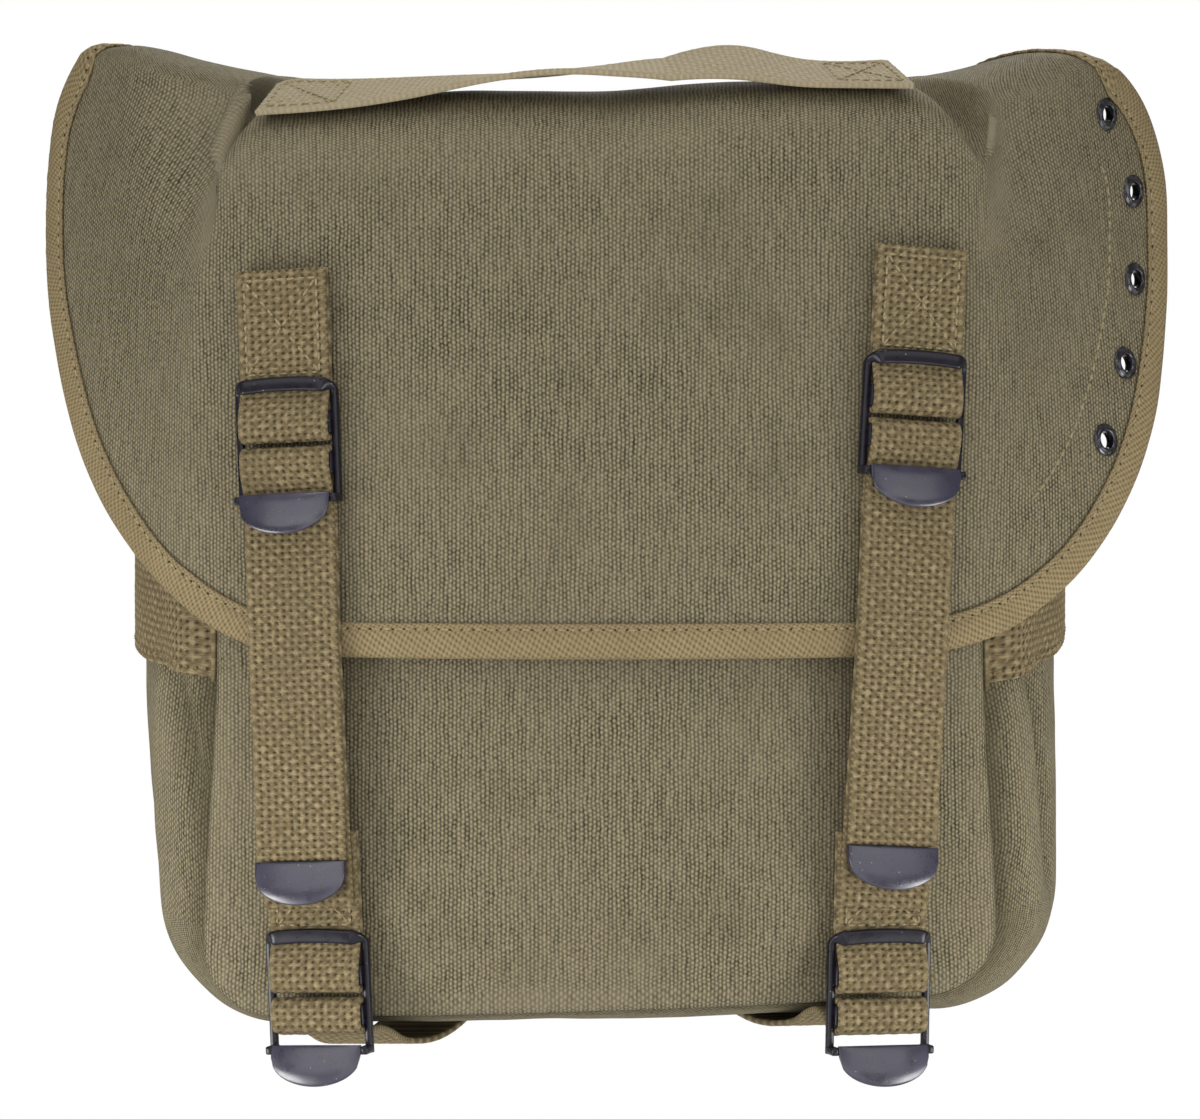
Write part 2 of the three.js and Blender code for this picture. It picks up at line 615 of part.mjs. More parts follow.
// One side's straps, tabs and buckles.
function addStraps(name) {
  const strap = STRAPS[name];
  const lean = (strap.topX - strap.hemX) / (strap.topZ - FLAP.hem);
  const x = (z) => strap.hemX + lean * (z - FLAP.hem);
  const top = flapFront(x(strap.topZ), strap.topZ);
  const up = top.clone().sub(flapFront(x(115), 115)).normalize();
  const yaw = strap.side * strap.yaw;
  const upperPatch = under(flapFront, x, strap.bar - 40, strap.bar + strap.tab);
  const upper = strapFrame(flapFront(x(strap.bar), strap.bar), up, yaw, upperPatch);
  addPiece(`upper_tab_${name}`, tab(strap.tab), 'webbing', upper);
  addPiece(`upper_buckle_${name}`, buckle(), 'steel', upper);

  const roll = rad(strap.lowRoll * strap.side);
  const lowUp = vec3(Math.sin(roll), 0, Math.cos(roll));
  const lowX = (z) => strap.lowX + Math.tan(roll) * (z - LOW_BAR);
  const lowerPatch = under(onFront, lowX, LOW_BAR - 16, LOW_BAR + LOW_TAB);
  const lower = strapFrame(onFront(strap.lowX, LOW_BAR), lowUp, yaw, lowerPatch);
  addPiece(`lower_tab_${name}`, tab(LOW_TAB), 'webbing', lower);
  addPiece(`lower_buckle_${name}`, buckle(), 'steel', lower);

  const lowFace = -BUCKLE.barHalf - GAP + WEB.thick + 0.2;
  const seat = (height) => {
    const along = (height - LOW_BAR) / Math.cos(roll);
    const points = [-12.5, 0, 12.5].map((w) => vec3(lowFace, along, w).applyMatrix4(lower.matrix));
    const spots = points.map((point) => inFrame(upper, point));
    return flat(Math.max(...spots.map((spot) => spot.x)) + GAP + WEB.thick / 2, spots[1].y);
  };
  const hemPatch = under(flapFront, x, FLAP.hem, FLAP.hem + BINDING.reach);
  const hemFace = hemPatch.map((point) => inFrame(upper, point));
  const hemOut = Math.max(...hemFace.map((point) => point.x)) + BINDING.thick + 2 * GAP + WEB.thick / 2;
  const hemUp = hemFace[2].y;
  const back = -BUCKLE.barHalf - GAP - WEB.thick / 2;
  const anchored = seat(ANCHOR.high);
  const load = [
    seat(ANCHOR.low), anchored, flat(lerp(anchored.x, hemOut, 0.55), lerp(anchored.y, hemUp, 0.5)),
    flat(hemOut, hemUp - 4), flat(hemOut, hemUp + 11), flat(back, -BUCKLE.barTwo[1] - 14),
  ];
  const path = closingStrap(load, seat(strap.tipEnd + TIP.length).y);
  addPiece(`strap_${name}`, ribbon(path), 'webbing', upper);
  const end = path[path.length - 1];
  addPiece(`strap_tip_${name}`, strapTip(), 'steel', upper).position.set(end.x, end.y + TIP.grip, 0);
  return { upper, lower, strap };
}

// A sling from the lower buckle's second bar back under the bag.
function bottomStrap(lower, strap) {
  const radius = BUCKLE.barHalf + GAP + WEB.thick / 2;
  const foot = -BUCKLE.barTwo[1] + BUCKLE.barHalf - radius;
  const below = (n, drop) => flat(n, Math.min(...[-13, -6, 0, 6, 13].map((w) => {
    const point = vec3(n, 0, w).applyMatrix4(lower.matrix);
    const front = frontY(point.x, FRONT.foot);
    const depth = THREE.MathUtils.clamp(1 - point.y / front, 0, 1);
    const bottom = gussetPoint(0.5 + point.x / 84 * 0.11, depth).z;
    return (bottom - GAP - WEB.thick / 2 - drop - point.z) / Math.cos(rad(strap.lowRoll));
  })));
  const reach = (lower.position.y + 14) / Math.cos(rad(strap.yaw));
  const runs = [1, 0.9, 0.8, 0.7, 0.6, 0.5, 0.4, 0.3, 0.2, 0.12].map((share) => {
    return below(reach * share, 0.35 + strap.sag * Math.sin(Math.PI * (1 - share)));
  });
  return ribbon([
    ...runs, flat(-4, Math.min(foot - 1.2, runs[9].y + 2)), ...roundBar(BUCKLE.barTwo, 'lower', 270, 360),
    ...roundBar(BUCKLE.barTwo, 'upper', 0, 180), flat(-radius, -BUCKLE.barTwo[1] + 3.2),
  ]);
}

// Handle: a web along the top of the flap, sewn down at both ends and lifted between them.
function handle() {
  const steps = 24;
  const half = WEB.width / 2;
  const rings = [];
  for (let k = 0; k <= steps; k++) {
    const share = k / steps;
    const s = lerp(HANDLE.from, HANDLE.to, share);
    const point = flapPoint(s, HANDLE.row);
    const d = 0.01;
    const across = flapPoint(s + d, HANDLE.row).sub(flapPoint(s - d, HANDLE.row)).normalize();
    const back = flapPoint(s, HANDLE.row + d).sub(flapPoint(s, HANDLE.row - d));
    back.addScaledVector(across, -back.dot(across)).normalize();
    const normal = across.clone().cross(back);
    const rising = ease(HANDLE.pad, 0.36, share) * (1 - 0.8 * ease(0.5, 0.72, share));
    const free = rising * (1 - ease(0.7, 1 - HANDLE.pad, share));
    const tilt = rad(HANDLE.dropped * bell(share, 0.38, 0.14) + HANDLE.raised * bell(share, 0.7, 0.13));
    const wide = back.clone().multiplyScalar(Math.cos(tilt)).addScaledVector(normal, Math.sin(tilt));
    const thick = normal.clone().multiplyScalar(Math.cos(tilt)).addScaledVector(back, -Math.sin(tilt));
    const lift = HANDLE.seat + HANDLE.lift * free + half * Math.abs(Math.sin(tilt));
    const middle = point.clone().addScaledVector(normal, lift + WEB.thick / 2);
    [[-1, -1], [1, -1], [1, 1], [-1, 1]].forEach(([a, b]) => {
      rings.push(middle.clone().addScaledVector(wide, a * half).addScaledVector(thick, b * WEB.thick / 2));
    });
  }
  const faces = [];
  const quad = (a, b, c, e) => faces.push(a, b, c, a, c, e);
  for (let k = 0; k < steps; k++) {
    for (let m = 0; m < 4; m++) {
      const n = (m + 1) % 4;
      quad(4 * k + m, 4 * k + n, 4 * k + 4 + n, 4 * k + 4 + m);
    }
  }
  const end = 4 * steps;
  quad(3, 2, 1, 0);
  quad(end, end + 1, end + 2, end + 3);
  const geometry = meshOf(rings, faces);
  return geometryOf(solidOf(geometry));
}

// A wide band on the side of the gusset, just under the flap.
function sideWeb(band) {
  const [columns, rows] = [8, 4];
  const side = band.side;
  const share = (z) => {
    const climb = (z - FRONT.foot - FRONT.corner) / (FRONT.mouth - FRONT.foot - FRONT.corner);
    const h = 0.5 + 0.5 * climb;
    return (1 + side * h) / 2;
  };
  return wall((i, j) => {
    const w = lerp(0.07, 0.97, (side < 0 ? columns - i : i) / columns);
    const z = lerp(lerp(band.front, band.back, w), band.high, j / rows);
    const d = 0.01;
    const point = gussetPoint(share(z), w);
    const along = gussetPoint(share(z), Math.min(1, w + d)).sub(gussetPoint(share(z), Math.max(0, w - d)));
    const out = vec3(along.y, -along.x, 0).normalize().multiplyScalar(Math.sign(along.y) * side);
    return point.addScaledVector(out, GAP + WEB.thick + 0.5);
  }, columns, rows, WEB.thick);
}

// A belt loop: sewn to the back above and below the belt, standing off between.
function beltLoop() {
  const { pad, clear, depth } = BELT_LOOP;
  const seat = GAP + WEB.thick / 2;
  const half = clear / 2;
  return ribbon([
    flat(seat, -half - pad), flat(seat, -half - 1), flat(seat + depth * 0.5, -half + 1.2),
    flat(seat + depth, -half + 3.6), flat(seat + depth, half - 3.6),
    flat(seat + depth * 0.5, half - 1.2), flat(seat, half + 1), flat(seat, half + pad),
  ]);
}

addPiece('front_panel', frontPanel(), 'canvas');
addPiece('gusset', gusset(), 'canvas');
addPiece('back_panel', backPanel(), 'canvas');
const seats = eyeletSeats();
const flapGrid = flapCloth();
addPiece('flap', flap(flapGrid, seats), 'canvas');
addPiece('flap_binding', binding(flapGrid), 'binding');
seats.forEach((seat, k) => addPiece(`eyelet_${k + 1}`, eyelet(seat), 'steel'));
addPiece('handle', handle(), 'webbing');
['left', 'right'].forEach((name) => {
  const { lower, strap } = addStraps(name);
  addPiece(`bottom_strap_${name}`, bottomStrap(lower, strap), 'webbing', lower);
  addPiece(`side_web_${name}`, sideWeb(SIDE_WEB[name]), 'webbing');
  const loop = addPiece(`belt_loop_${name}`, beltLoop(), 'webbing');
  const upright = new THREE.Matrix4().makeBasis(vec3(0, 1, 0), vec3(0, 0, 1), vec3(1, 0, 0));
  loop.quaternion.setFromRotationMatrix(upright);
  loop.position.set(strap.side * BELT_LOOP.x, 0, BELT_HEIGHT);
});

const part = new THREE.Group();
part.add(bag);

export default part;
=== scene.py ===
import json
import math

import bmesh
import bpy
from mathutils import Matrix, Vector, noise
from mathutils.bvhtree import BVHTree

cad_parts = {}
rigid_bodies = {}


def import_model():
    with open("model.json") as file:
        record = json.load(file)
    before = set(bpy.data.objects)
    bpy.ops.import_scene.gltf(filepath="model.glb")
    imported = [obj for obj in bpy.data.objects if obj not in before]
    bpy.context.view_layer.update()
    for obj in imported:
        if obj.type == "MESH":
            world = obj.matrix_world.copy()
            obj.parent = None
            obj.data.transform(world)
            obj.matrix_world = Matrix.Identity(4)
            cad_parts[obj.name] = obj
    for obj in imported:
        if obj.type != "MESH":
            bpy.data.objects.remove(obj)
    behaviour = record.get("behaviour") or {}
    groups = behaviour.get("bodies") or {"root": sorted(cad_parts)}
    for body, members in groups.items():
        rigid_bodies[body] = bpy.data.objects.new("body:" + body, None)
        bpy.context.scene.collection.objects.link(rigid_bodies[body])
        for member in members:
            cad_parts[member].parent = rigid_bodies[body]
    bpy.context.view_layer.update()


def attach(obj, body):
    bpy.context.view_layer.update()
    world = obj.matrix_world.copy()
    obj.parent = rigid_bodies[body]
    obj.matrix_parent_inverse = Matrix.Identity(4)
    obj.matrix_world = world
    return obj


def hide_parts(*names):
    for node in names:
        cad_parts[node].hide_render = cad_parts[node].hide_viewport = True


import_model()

# Canvas belt bag: a stuffed body under a wide flap, two closing straps with ladder buckles.
# Shapes are worked out in millimetres from the foot of the bag, and placed in metres.

beltHeight = 172  # from the foot up to the middle of the belt, where the origin lies
gap = 0.3  # between pieces that lie on each other


def lerp(a, b, t):
    return a + (b - a) * t


def clamp(x):
    return min(1, max(0, x))


def ease(low, high, x):
    t = clamp((x - low) / (high - low))
    return t * t * (3 - 2 * t)


def bell(x, middle, width):
    return math.exp(-(((x - middle) / width) ** 2))


def ripple(x, y, z, size):
    return noise.noise(Vector((x, y, z)) / size)


def toFrame(point):
    return (point - Vector((0, 0, beltHeight))) * 0.001


# Materials

def linear(hexColour):
    values = [int(hexColour[k:k + 2], 16) / 255 for k in (1, 3, 5)]
    return [v / 12.92 if v <= 0.04045 else ((v + 0.055) / 1.055) ** 2.4 for v in values] + [1]


# each source is a socket, or a node that gives its first output
def wire(tree, node, links):
    for socket, source in dict(links).items():
        isNode = isinstance(source, bpy.types.Node)
        tree.links.new(source.outputs[0] if isNode else source, node.inputs[socket])


def addNode(tree, kind, values=(), links=(), **settings):
    made = tree.nodes.new(kind)
    for name, value in settings.items():
        setattr(made, name, value)
    for socket, value in dict(values).items():
        made.inputs[socket].default_value = value
    wire(tree, made, links)
    return made


def newMaterial(name, **sockets):
    made = bpy.data.materials.new(name)
    made.use_nodes = True
    tree = made.node_tree
    shader = tree.nodes["Principled BSDF"]
    for socket, value in sockets.items():
        shader.inputs[socket.replace("_", " ")].default_value = value
    place = addNode(tree, "ShaderNodeTexCoord").outputs["Object"]
    return made, tree, shader, place


# a thread pattern: waves across and along the cloth's own thread map, given in millimetres
def threadWave(tree, source, pitch, shape):
    turns = addNode(tree, "ShaderNodeMath", {1: 2000 * math.pi / pitch}, {0: source}, operation="MULTIPLY")
    return addNode(tree, "ShaderNodeMath", (), {0: turns}, operation=shape)


duck = {
    "column": 1.08, "row": 1.23, "relief": 0.00022,
    "pit": "#241f14", "yarn": "#595240", "crest": "#847c64", "fadeAndPaintedLight": "#746c58", "shade": "#37311f",
}


def makeDuck():
    # heavy cotton duck, plain woven: yarn crests in wavy columns over pits, with painted light on the crests and
    # painted shade in the pits; matt, and paler in random clouds
    made, tree, shader, place = newMaterial("heavy_cotton_duck", Roughness=0.95, Specular_IOR_Level=0.15)
    uv = addNode(tree, "ShaderNodeUVMap", uv_map="thread")
    sway = addNode(tree, "ShaderNodeTexNoise", {"Scale": 160.0, "Detail": 2.0}, {"Vector": uv})
    shift = addNode(tree, "ShaderNodeVectorMath", {1: (0.5, 0.5, 0.5)}, {0: sway.outputs["Color"]},
                    operation="SUBTRACT")
    pull = addNode(tree, "ShaderNodeVectorMath", {"Scale": 0.0011}, {0: shift}, operation="SCALE")
    moved = addNode(tree, "ShaderNodeVectorMath", (), {0: uv, 1: pull}, operation="ADD")
    thread = addNode(tree, "ShaderNodeSeparateXYZ", (), {0: moved})
    column = threadWave(tree, thread.outputs[0], duck["column"], "COSINE")
    over = threadWave(tree, thread.outputs[0], 2 * duck["column"], "SINE")
    under = threadWave(tree, thread.outputs[1], duck["row"], "SINE")
    cross = addNode(tree, "ShaderNodeMath", (), {0: over, 1: under}, operation="MULTIPLY")
    ribs = addNode(tree, "ShaderNodeMath", {1: -0.17, 2: 0.08}, {0: column}, operation="MULTIPLY_ADD")
    weave = addNode(tree, "ShaderNodeMath", {1: 0.2}, {0: cross, 2: ribs}, operation="MULTIPLY_ADD")
    slub = addNode(tree, "ShaderNodeTexNoise", {"Scale": 850.0, "Detail": 3.0}, {"Vector": uv})
    yarnMap = addNode(tree, "ShaderNodeMapping", {"Scale": (930.0, 110.0, 1.0)}, {"Vector": uv})
    yarn = addNode(tree, "ShaderNodeTexNoise", {"Scale": 1.0, "Detail": 2.0}, {"Vector": yarnMap})
    rough = addNode(tree, "ShaderNodeMath", {1: 0.6}, {0: slub, 2: weave}, operation="MULTIPLY_ADD")
    height = addNode(tree, "ShaderNodeMath", {1: 0.42}, {0: yarn, 2: rough}, operation="MULTIPLY_ADD")
    # colour from the weave's height: the dark pit colour is painted shade in the weave's hollows, the pale crest
    # colour is painted light on the yarn's tops
    colour = addNode(tree, "ShaderNodeValToRGB", (), {0: height})
    stops = colour.color_ramp.elements
    stops[0].position, stops[0].color = 0.3, linear(duck["pit"])
    stops[1].position, stops[1].color = 0.92, linear(duck["crest"])
    stops.new(0.52).color = linear(duck["yarn"])
    cloud = addNode(tree, "ShaderNodeTexNoise", {"Scale": 22.0, "Detail": 4.0, "Roughness": 0.6}, {"Vector": place})
    fade = addNode(tree, "ShaderNodeMapRange", {1: 0.35, 2: 0.75, 3: 0.0, 4: 0.32}, {0: cloud})
    # this vertex attribute is real wear where it is above zero, plus painted light on fold ridges and on the ears'
    # flanks; below zero it is painted shade in creases and fold hollows
    wearAndShading = addNode(tree, "ShaderNodeAttribute", attribute_name="wear_and_painted_shading").outputs["Fac"]
    paler = addNode(tree, "ShaderNodeMath", (), {0: fade, 1: wearAndShading}, operation="ADD", use_clamp=True)
    fadeAndPaintedLight = addNode(tree, "ShaderNodeMix", {7: linear(duck["fadeAndPaintedLight"])}, {0: paler, 6: colour}, data_type="RGBA")
    streak = addNode(tree, "ShaderNodeTexNoise", {"Scale": 48.0, "Detail": 3.0}, {"Vector": place})
    deep = addNode(tree, "ShaderNodeMapRange", {1: 0.55, 2: 0.8, 3: 0.0, 4: 0.24}, {0: streak})
    # darker in random streaks, and painted shade wherever the attribute is below zero
    streaksAndPaintedShade = addNode(tree, "ShaderNodeMath", (), {0: deep, 1: wearAndShading}, operation="SUBTRACT", use_clamp=True)
    shaded = addNode(tree, "ShaderNodeMix", {7: linear(duck["shade"])}, {0: streaksAndPaintedShade, 6: fadeAndPaintedLight.outputs[2]},
                     data_type="RGBA")
    bump = addNode(tree, "ShaderNodeBump", {"Strength": 0.8, "Distance": duck["relief"]}, {"Height": height})
    wire(tree, shader, {"Base Color": shaded.outputs[2], "Normal": bump})
    return made


webYarn = {
    "across": 2.1, "along": 1.68, "deep": 0.5, "pit": "#241d12", "yarn": "#63573e", "crest": "#918263",
    "shade": "#564b35", "fadeAndPaintedLight": "#a89d83",
}


def makeWebbing():
    # cotton webbing, open plain weave of plied yarn: fat lumps round deep pits, the lumps' paleness painted light
    # and the pits' darkness painted shade
    made, tree, shader, place = newMaterial("cotton_webbing", Roughness=0.92, Specular_IOR_Level=0.2)
    uv = addNode(tree, "ShaderNodeUVMap", uv_map="thread")
    weave = addNode(tree, "ShaderNodeAttribute", attribute_name="weave").outputs["Fac"]
    plyMap = addNode(tree, "ShaderNodeMapping", {"Scale": (1.0, 2.2, 1.0)}, {"Vector": uv})
    ply = addNode(tree, "ShaderNodeTexNoise", {"Scale": 1100.0, "Detail": 3.0}, {"Vector": plyMap})
    fibre = addNode(tree, "ShaderNodeMath", {1: 0.7, 2: -0.36}, {0: ply}, operation="MULTIPLY_ADD")
    height = addNode(tree, "ShaderNodeMath", (), {0: weave, 1: fibre}, operation="ADD")
    # colour from the weave attribute: dark in the pits is painted shade, pale on the lumps is painted light
    colour = addNode(tree, "ShaderNodeValToRGB", (), {0: height})
    stops = colour.color_ramp.elements
    stops[0].position, stops[0].color = 0.1, linear(webYarn["pit"])
    stops[1].position, stops[1].color = 1.0, linear(webYarn["crest"])
    stops.new(0.62).color = linear(webYarn["yarn"])
    cloud = addNode(tree, "ShaderNodeTexNoise", {"Scale": 70.0, "Detail": 3.0}, {"Vector": place})
    patch = addNode(tree, "ShaderNodeMapRange", {1: 0.45, 2: 0.8, 3: 0.0, 4: 0.45}, {0: cloud})
    shaded = addNode(tree, "ShaderNodeMix", {7: linear(webYarn["shade"])}, {0: patch, 6: colour}, data_type="RGBA")
    # paler where the attribute is set, which is only on the handle: painted light for its top-lit look
    wearAndShading = addNode(tree, "ShaderNodeAttribute", attribute_name="wear_and_painted_shading").outputs["Fac"]
    fadeAndPaintedLight = addNode(tree, "ShaderNodeMix", {7: linear(webYarn["fadeAndPaintedLight"])}, {0: wearAndShading, 6: shaded.outputs[2]},
                    data_type="RGBA")
    bump = addNode(tree, "ShaderNodeBump", {"Strength": 0.6, "Distance": 0.00025}, {"Height": height})
    wire(tree, shader, {"Base Color": fadeAndPaintedLight.outputs[2], "Normal": bump})
    return made


tape = {
    "rib": 1.2, "slant": 2.4, "rise": 1.95,
    "pit": "#4a3e29", "yarn": "#76684b", "crest": "#8e7f60", "shade": "#5f5239",
}


def makeTape():
    # cotton twill tape: short slanting ribs, smoother and paler than the canvas
    made, tree, shader, place = newMaterial("cotton_twill_tape", Roughness=0.9, Specular_IOR_Level=0.2)
    uv = addNode(tree, "ShaderNodeUVMap", uv_map="thread")
    thread = addNode(tree, "ShaderNodeSeparateXYZ", (), {0: uv})
    slanted = {0: thread.outputs[1], 2: thread.outputs[0]}
    lean = addNode(tree, "ShaderNodeMath", {1: 0.35}, slanted, operation="MULTIPLY_ADD")
    back = addNode(tree, "ShaderNodeMath", {1: -tape["slant"] / tape["rise"]}, slanted, operation="MULTIPLY_ADD")
    rib = threadWave(tree, lean, tape["rib"], "SINE")
    twill = threadWave(tree, back, tape["slant"], "SINE")
    slub = addNode(tree, "ShaderNodeTexNoise", {"Scale": 800.0, "Detail": 3.0}, {"Vector": uv})
    base = addNode(tree, "ShaderNodeMath", {1: 0.5, 2: 0.3}, {0: slub}, operation="MULTIPLY_ADD")
    ribbed = addNode(tree, "ShaderNodeMath", {1: 0.16}, {0: rib, 2: base}, operation="MULTIPLY_ADD")
    height = addNode(tree, "ShaderNodeMath", {1: 0.16}, {0: twill, 2: ribbed}, operation="MULTIPLY_ADD")
    # colour from the ribs' height: dark in the hollows is painted shade, pale on the ribs is painted light
    colour = addNode(tree, "ShaderNodeValToRGB", (), {0: height})
    stops = colour.color_ramp.elements
    stops[0].position, stops[0].color = 0.14, linear(tape["pit"])
    stops[1].position, stops[1].color = 0.95, linear(tape["crest"])
    stops.new(0.5).color = linear(tape["yarn"])
    cloud = addNode(tree, "ShaderNodeTexNoise", {"Scale": 45.0, "Detail": 3.0}, {"Vector": place})
    patch = addNode(tree, "ShaderNodeMapRange", {1: 0.45, 2: 0.8, 3: 0.0, 4: 0.4}, {0: cloud})
    shaded = addNode(tree, "ShaderNodeMix", {7: linear(tape["shade"])}, {0: patch, 6: colour}, data_type="RGBA")
    bump = addNode(tree, "ShaderNodeBump", {"Strength": 0.7, "Distance": 0.0002}, {"Height": height})
    wire(tree, shader, {"Base Color": shaded.outputs[2], "Normal": bump})
    return made


def makeThread():
    # cotton sewing thread, plied and slightly lustrous; the twist is drawn at 0.5 mm so that it shows
    made, tree, shader, place = newMaterial("cotton_sewing_thread", Roughness=0.75, Sheen_Weight=0.1)
    twist = addNode(tree, "ShaderNodeTexNoise", {"Scale": 2000.0, "Detail": 2.0}, {"Vector": place})
    colour = addNode(tree, "ShaderNodeValToRGB", (), {0: twist})
    stops = colour.color_ramp.elements
    stops[0].position, stops[0].color = 0.3, linear("#6a5d3e")
    stops[1].position, stops[1].color = 0.7, linear("#9c8e69")
    bump = addNode(tree, "ShaderNodeBump", {"Strength": 0.5, "Distance": 0.0001}, {"Height": twist})
    wire(tree, shader, {"Base Color": colour, "Normal": bump})
    return made


def makeHoleShadow():
    # needle hole's painted shadow: a dark mark where the thread goes down through the cloth
    made, tree, shader, place = newMaterial("needle_hole_shadow", Roughness=1.0)
    lint = addNode(tree, "ShaderNodeTexNoise", {"Scale": 1500.0}, {"Vector": place})
    colour = addNode(tree, "ShaderNodeValToRGB", (), {0: lint})
    colour.color_ramp.elements[0].color = linear("#1d1810")
    colour.color_ramp.elements[1].color = linear("#3a301d")
    wire(tree, shader, {"Base Color": colour})
    return made


steel = {"fleck": "#b6b5bd", "grit": 0.4, "speck": 2.2}


def makeSteel(name, gloss, coat, wearAndShading):
    # stamped steel, black satin enamel: fine orange-peel grit, rare pale specks, a soft blue-grey gloss
    made, tree, shader, place = newMaterial(name, Specular_IOR_Level=gloss, Coat_Weight=gloss * 0.45,
                                            Coat_Roughness=0.14)
    cloud = addNode(tree, "ShaderNodeTexNoise", {"Scale": 260.0, "Detail": 4.0}, {"Vector": place})
    tone = addNode(tree, "ShaderNodeValToRGB", (), {0: cloud})
    stops = tone.color_ramp.elements
    stops[0].position, stops[0].color = 0.35, linear(coat)
    stops[1].position, stops[1].color = 0.85, linear(wearAndShading)
    dust = addNode(tree, "ShaderNodeTexVoronoi", {"Scale": 1000 / steel["speck"]}, {"Vector": place})
    fleck = addNode(tree, "ShaderNodeMapRange", {1: 0.04, 2: 0.07, 3: 0.6, 4: 0.0}, {0: dust.outputs["Distance"]})
    colour = addNode(tree, "ShaderNodeMix", {7: linear(steel["fleck"])}, {0: fleck, 6: tone}, data_type="RGBA")
    grit = addNode(tree, "ShaderNodeTexNoise", {"Scale": 1000 / steel["grit"], "Detail": 2.0}, {"Vector": place})
    rough = addNode(tree, "ShaderNodeMapRange", {1: 0.3, 2: 0.7, 3: 0.24, 4: 0.34}, {0: cloud})
    bump = addNode(tree, "ShaderNodeBump", {"Strength": 0.12, "Distance": 0.00005}, {"Height": grit})
    wire(tree, shader, {"Base Color": colour.outputs[2], "Roughness": rough, "Normal": bump})
    return made


def makeGlossSteel():
    # rolled eyelets: the same enamel, polished by rolling, so it mirrors the lights
    made, tree, shader, place = newMaterial("black_rolled_eyelet", Metallic=0.7, Coat_Weight=0.4,
                                            Coat_Roughness=0.08)
    rub = addNode(tree, "ShaderNodeTexNoise", {"Scale": 700.0, "Detail": 3.0}, {"Vector": place})
    tone = addNode(tree, "ShaderNodeValToRGB", (), {0: rub})
    stops = tone.color_ramp.elements
    stops[0].position, stops[0].color = 0.45, linear("#1c1b20")
    stops[1].position, stops[1].color = 0.8, linear("#55545a")
    rough = addNode(tree, "ShaderNodeMapRange", {1: 0.3, 2: 0.7, 3: 0.16, 4: 0.3}, {0: rub})
    wire(tree, shader, {"Base Color": tone, "Roughness": rough})
    return made


duckCloth = makeDuck()
webCloth = makeWebbing()
tapeCloth = makeTape()
sewingThread = makeThread()
needleHoleShadow = makeHoleShadow()
# two copies of one enamel: the bars' darker, less glossy copy is painted shade, the plates' paler, glossier copy is
# painted light for their bright reflection
shadedBarSteel = makeSteel("black_steel_shaded_bars", 0.2, "#100e15", "#1b1823")
litPlateSteel = makeSteel("black_steel_lit_plates", 0.58, "#1c1929", "#2a2539")
eyeletSteel = makeGlossSteel()
print("materials: canvas, webbing, tape, thread, enamelled steel")


# Making a piece from a mesh in work

def addObject(name, data):
    made = bpy.data.objects.new(name, data)
    bpy.context.collection.objects.link(made)
    return made


def finishPiece(bm, name, materials, slot, *nodes):
    mesh = bpy.data.meshes.new(name)
    bm.to_mesh(mesh)
    bm.free()
    mesh.shade_smooth()
    piece = addObject(name, mesh)
    for material in materials:
        mesh.materials.append(material)
    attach(piece, "root")
    if nodes:
        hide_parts(*nodes)
    return piece


def thicken(piece, thickness):
    solid = piece.modifiers.new("thickness", "SOLIDIFY")
    solid.thickness = thickness * 0.001
    solid.offset = -1


# a flat grid to be shaped, as a list of (vertex, column, row)
def addGrid(bm, columns, rows):
    verts = bmesh.ops.create_grid(bm, x_segments=columns, y_segments=rows, size=1)["verts"]
    return [(vert, round((vert.co.x + 1) * columns / 2), round((vert.co.y + 1) * rows / 2)) for vert in verts]


# writes the thread map, in millimetres along the cloth's own threads
def mapThreads(bm, threads):
    uvLayer = bm.loops.layers.uv.new("thread")
    for face in bm.faces:
        for loop in face.loops:
            u, v = threads[loop.vert]
            loop[uvLayer].uv = (u * 0.001, v * 0.001)


# a woven sheet: surface gives each spot's place, its thread map, and its wear with painted light and shade. A
# measured sheet has its threads counted outwards from the middle column, so the weave keeps its pitch where the
# cloth bulges.
def clothSheet(columns, rows, surface, relief=None, measured=False):
    bm = bmesh.new()
    wear_and_painted_shading = bm.verts.layers.float.new("wear_and_painted_shading")
    weave = bm.verts.layers.float.new("weave")
    threads = {}
    net = {}
    for vert, i, j in addGrid(bm, columns, rows):
        point, u, v, wearAndShading = surface(i / columns, j / rows)
        vert.co = toFrame(point)
        threads[vert] = (u, v)
        net[i, j] = vert
        vert[wear_and_painted_shading] = wearAndShading
        vert[weave] = 0.6
    if measured:
        middle = columns // 2
        for j in range(rows + 1):
            for step in (-1, 1):
                u = 0
                for i in range(middle, columns + 1 if step > 0 else -1, step):
                    vert = net[i, j]
                    if i != middle:
                        u += step * (vert.co - net[i - step, j].co).length * 1000
                    threads[vert] = (u, threads[vert][1])
    if relief:
        bm.normal_update()
        for vert, (u, v) in threads.items():
            lift, vert[weave] = relief(u, v)
            vert.co += vert.normal * lift * 0.001
    mapThreads(bm, threads)
    return bm


# Body: front panel, gusset round the sides and foot, back panel

canvasThick = 1.5
frontCut = {"half": 104, "flare": 4, "foot": 0, "corner": 21, "mouth": 221, "seamY": -92}
backCut = {"half": 120, "flare": 0, "foot": 4, "corner": 34, "mouth": 238}
crown = {"out": 26, "power": 2.2, "footShare": 0.45, "footRound": 28, "topLoss": 0.3, "fullAt": 90}
puff = {"side": 14, "foot": 8, "mouthShare": 0.55, "lowLeft": 0.5, "lowRight": 0.95}
footTilt = 0.032
seamRoll = {"width": 8, "deep": 5.5, "out": 1.4, "tuck": 1.8, "creaseFoot": 2, "creaseSide": 6.5}
